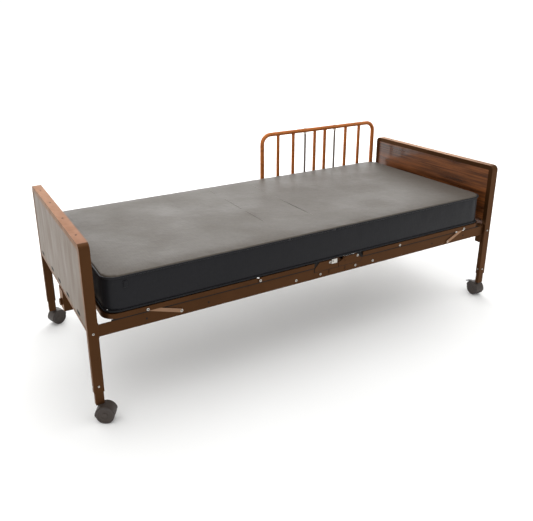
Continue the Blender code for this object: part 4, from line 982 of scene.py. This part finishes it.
class BED_OT_mattress(BedOperator, bpy.types.Operator):
    """Mattress: a swollen cover, sewn piping, puckers along the seams, divided where the deck folds."""

    bl_idname = "bed.mattress"
    bl_label = "Mattress"

    def build(self):
        boxes = [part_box(f"mattress_{part}") for part in MATTRESS_PARTS]
        self.low = Vector(min(box[0][axis] for box in boxes) for axis in range(3))
        self.high = Vector(max(box[1][axis] for box in boxes) for axis in range(3))
        cover = self.cover()
        self.swell(cover)
        self.pucker(cover)
        with_modifier(cover, "SUBSURF", levels=1, render_levels=1)
        self.colour(cover)
        trim = [self.piping(self.seam_height(way)) for way in (-1, 1)]
        whole = joined("mattress", [cover, *trim, self.zip_end()])
        self.divide(whole)

    def seam_height(self, way):
        return self.high.z - 0.011 if way > 0 else self.low.z + 0.006

    def cover(self):
        """A block with round corners, a little small so that it can swell, on an even mesh."""
        inset = Vector((0.004, 0.004, 0.0))
        cover = cube("mattress", self.low + inset, self.high - inset - Vector((0, 0, 0.003)))
        pick(cover, "EDGE", lambda edge: abs(edge.verts[0].co.z - edge.verts[1].co.z) > 0.1)
        bpy.ops.mesh.bevel(offset=sizes().mattress_corner, segments=10, affect="EDGES")
        return with_modifier(cover, "REMESH", mode="VOXEL", voxel_size=sizes().voxel, adaptivity=0.0)

    def edge_distance(self, point):
        """How far inside the cover's outline a point lies, seen from above."""
        corner = sizes().mattress_corner
        half = (self.high - self.low) / 2
        x, y = abs(point.x - (self.low.x + half.x)), abs(point.y)
        dx, dy = x - (half.x - corner), y - (half.y - corner)
        if dx > 0 and dy > 0:
            return corner - math.hypot(dx, dy)
        return corner - max(dx, dy)

    def swell(self, cover):
        """Inflate the cover against its seams with the cloth solver, and limit how far each point goes."""
        rest = [vertex.co.copy() for vertex in cover.data.vertices]
        pinned = cover.vertex_groups.new(name="seams")
        for vertex in cover.data.vertices:
            on_seam = self.edge_distance(vertex.co) < 0.014 and self.high.z - vertex.co.z < 0.012
            if on_seam or vertex.co.z < self.low.z + 0.012:
                pinned.add([vertex.index], 1.0, "REPLACE")
        cloth = cover.modifiers.new("Cloth", "CLOTH")
        settings = cloth.settings
        settings.quality = 4
        settings.use_pressure = True
        settings.uniform_pressure_force = 4
        settings.effector_weights.gravity = 0
        settings.vertex_group_mass = pinned.name
        cloth.collision_settings.use_collision = False
        cloth.point_cache.frame_start, cloth.point_cache.frame_end = 1, sizes().swell_steps
        for step in range(1, sizes().swell_steps + 1):
            bpy.context.scene.frame_set(step)
        choose(cover)
        bpy.ops.object.modifier_apply(modifier=cloth.name)
        limit = sizes().swell
        for vertex, start in zip(cover.data.vertices, rest):
            moved = vertex.co - start
            if moved.length > 1e-9:
                vertex.co = start + moved.normalized() * limit * math.tanh(moved.length / limit)
        cover.vertex_groups.clear()
        bpy.context.scene.frame_set(1)

    def pucker(self, cover):
        """Gather the cover along its top seam, and give the faces their slow hollows."""
        for vertex in cover.data.vertices:
            inside = max(self.edge_distance(vertex.co), 0.0)
            drop = self.high.z - vertex.co.z
            along = Vector((vertex.co.x, vertex.co.y, 0.0))
            gather = sum(noise.noise(along * pitch) * depth for pitch, depth in SEAM_PUCKERS)
            slow = noise.noise(vertex.co * HOLLOW_PITCH) * HOLLOW_DEPTH
            normal = vertex.normal.copy()
            if drop < 0.02:
                reach = math.exp(-inside / 0.045)
                vertex.co.z += gather * reach * (1 - math.exp(-inside / 0.01)) + slow * (1 - reach)
            elif vertex.co.z > self.low.z + 0.02:
                push = gather * math.exp(-drop / 0.05) + slow * 0.7
                vertex.co += normal * push

    def colour(self, cover):
        dress(cover, "mattress_side", "mattress_top")
        seam = self.seam_height(1)
        for face in cover.data.polygons:
            face.material_index = int(face.center.z > seam)
            face.use_smooth = True

    def piping(self, height):
        """Piping round the mattress at one height, in the border's own nylon."""
        inset = 0.003
        size = (self.high.x - self.low.x - 2 * inset, self.high.y - self.low.y - 2 * inset)
        loop = tube_loop(
            "piping", size, ((self.low.x + self.high.x) / 2, 0, height),
            sizes().mattress_corner - inset, sizes().piping, 3, cuts=40, wobble=0.0008,
        )
        return dress(loop, "mattress_side")

    def zip_end(self):
        """The folded tape end of the cover's zip, at the corner by the near foot leg."""
        x, z = self.low.x + 0.085, self.high.z - 0.040
        front, back = self.low.y - 0.003, self.low.y + 0.002
        tab = cube("zip_end", (x - 0.007, front, z - 0.016), (x + 0.007, back, z + 0.012))
        return dress(eased(tab, 0.0016, 3), "mattress_side")

    def divide(self, whole):
        """Split the mattress across the bed into its lengths."""
        hip, thigh = FOLD_MARKS["hip"], FOLD_MARKS["thigh"]
        back_x, thigh_x, knee_x = (
            JOINTS[name]["pos_m"][0] for name in ("back_hinge", "thigh_hinge", "knee_hinge")
        )
        lengths = (
            ("mattress_head_length", (hip, None), ("back", "hip_fold", "seat"),
             ("bed_frame", "back_section"), (back_x - 0.12, back_x + 0.17)),
            ("mattress_thigh_length", (thigh, hip), ("thigh_fold", "thigh"),
             ("bed_frame", "thigh_section"), (thigh_x + 0.02, thigh_x - 0.16)),
            ("mattress_foot_length", (None, thigh), ("foot",),
             ("thigh_section", "foot_section"), (knee_x + 0.055, knee_x - 0.055)),
        )
        for name, (start, stop), parts, bodies, (first, last) in lengths:
            piece = copied(whole, name)
            if start is not None:
                sliced(piece, (start, 0, 0), (-1, 0, 0))
            if stop is not None:
                sliced(piece, (stop, 0, 0), (1, 0, 0))
            choose(piece)
            bpy.ops.object.shade_smooth_by_angle(angle=math.radians(60))
            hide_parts(*(f"mattress_{part}" for part in parts))
            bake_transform(piece)
        bpy.data.objects.remove(whole)


class BED_OT_stage(BedOperator, bpy.types.Operator):
    """Pale floor, soft studio light and the camera."""

    bl_idname = "bed.stage"
    bl_label = "Stage"

    def build(self):
        self.floor()
        self.lights()
        self.camera()
        bpy.context.scene.view_settings.view_transform = "Standard"

    def floor(self):
        deselect()
        bpy.ops.mesh.primitive_plane_add(size=60, location=(0, 0, -0.0005))
        floor = added("floor")
        material, tree, shader, coordinates = new_material("studio_paper", linear(PAPER), roughness=0.9)
        cloud = speckle(tree, coordinates, 0.8, detail=2)
        feed(shader, "Base Color", tinted(tree, linear(PAPER), cloud, 0.99, 1.01))
        # Seen from below, the paper is clear, so that the underside of the bed can be looked at.
        clear = add_node(tree, "ShaderNodeBsdfTransparent")
        facing = add_node(tree, "ShaderNodeNewGeometry")
        mixed = add_node(
            tree, "ShaderNodeMixShader",
            {0: facing.outputs["Backfacing"], 1: shader.outputs["BSDF"], 2: clear.outputs["BSDF"]},
        )
        tree.links.new(mixed.outputs["Shader"], tree.nodes["Material Output"].inputs["Surface"])
        floor.data.materials.append(material)

    def lights(self):
        world = bpy.data.worlds.new("studio")
        world.use_nodes = True
        background = world.node_tree.nodes["Background"]
        background.inputs["Color"].default_value = linear("#ffffff")
        background.inputs["Strength"].default_value = 1.02
        bpy.context.scene.world = world
        bpy.ops.object.light_add(type="SUN", location=(0, 0, 5))
        sky = bpy.context.active_object
        sky.data.energy, sky.data.angle = 0.45, math.radians(70)
        for name, place, target, size, energy in AREA_LIGHTS:
            bpy.ops.object.light_add(type="AREA", location=place)
            light = bpy.context.active_object
            light.name = name
            light.data.shape, light.data.energy = "RECTANGLE", energy
            light.data.size, light.data.size_y = size
            light.rotation_euler = (Vector(target) - Vector(place)).to_track_quat("-Z", "Y").to_euler()

    def camera(self):
        turn = [math.radians(angle) for angle in CAMERA_TURN]
        bpy.ops.object.camera_add(location=CAMERA_PLACE, rotation=turn)
        camera = bpy.context.active_object
        camera.data.sensor_width, camera.data.lens = 36, CAMERA_LENS
        camera.data.shift_x, camera.data.shift_y = CAMERA_SHIFT
        bpy.context.scene.camera = camera


class BED_PT_panel(bpy.types.Panel):
    """Lists the bed's operators, colours and sizes."""

    bl_label = "Homecare Bed"
    bl_space_type = "VIEW_3D"
    bl_region_type = "UI"
    bl_category = "Bed"

    def draw(self, context):
        for operator in OPERATORS:
            self.layout.operator(operator.bl_idname)
        for group in (context.scene.bed_colours, context.scene.bed_sizes):
            for name in group.__annotations__:
                self.layout.prop(group, name)


OPERATORS = (
    BED_OT_ends,
    BED_OT_side_rails,
    BED_OT_deck,
    BED_OT_pivots,
    BED_OT_drives,
    BED_OT_casters,
    BED_OT_half_rail,
    BED_OT_mattress,
    BED_OT_stage,
)
CLASSES = (BedColours, BedSizes, *OPERATORS, BED_PT_panel)


def register():
    for cls in CLASSES:
        bpy.utils.register_class(cls)
    bpy.types.Scene.bed_colours = PointerProperty(type=BedColours)
    bpy.types.Scene.bed_sizes = PointerProperty(type=BedSizes)


def unregister():
    del bpy.types.Scene.bed_colours
    del bpy.types.Scene.bed_sizes
    for cls in reversed(CLASSES):
        bpy.utils.unregister_class(cls)


def main():
    register()
    for operator in OPERATORS:
        group, name = operator.bl_idname.split(".")
        getattr(getattr(bpy.ops, group), name)()


if __name__ == "__main__":
    main()
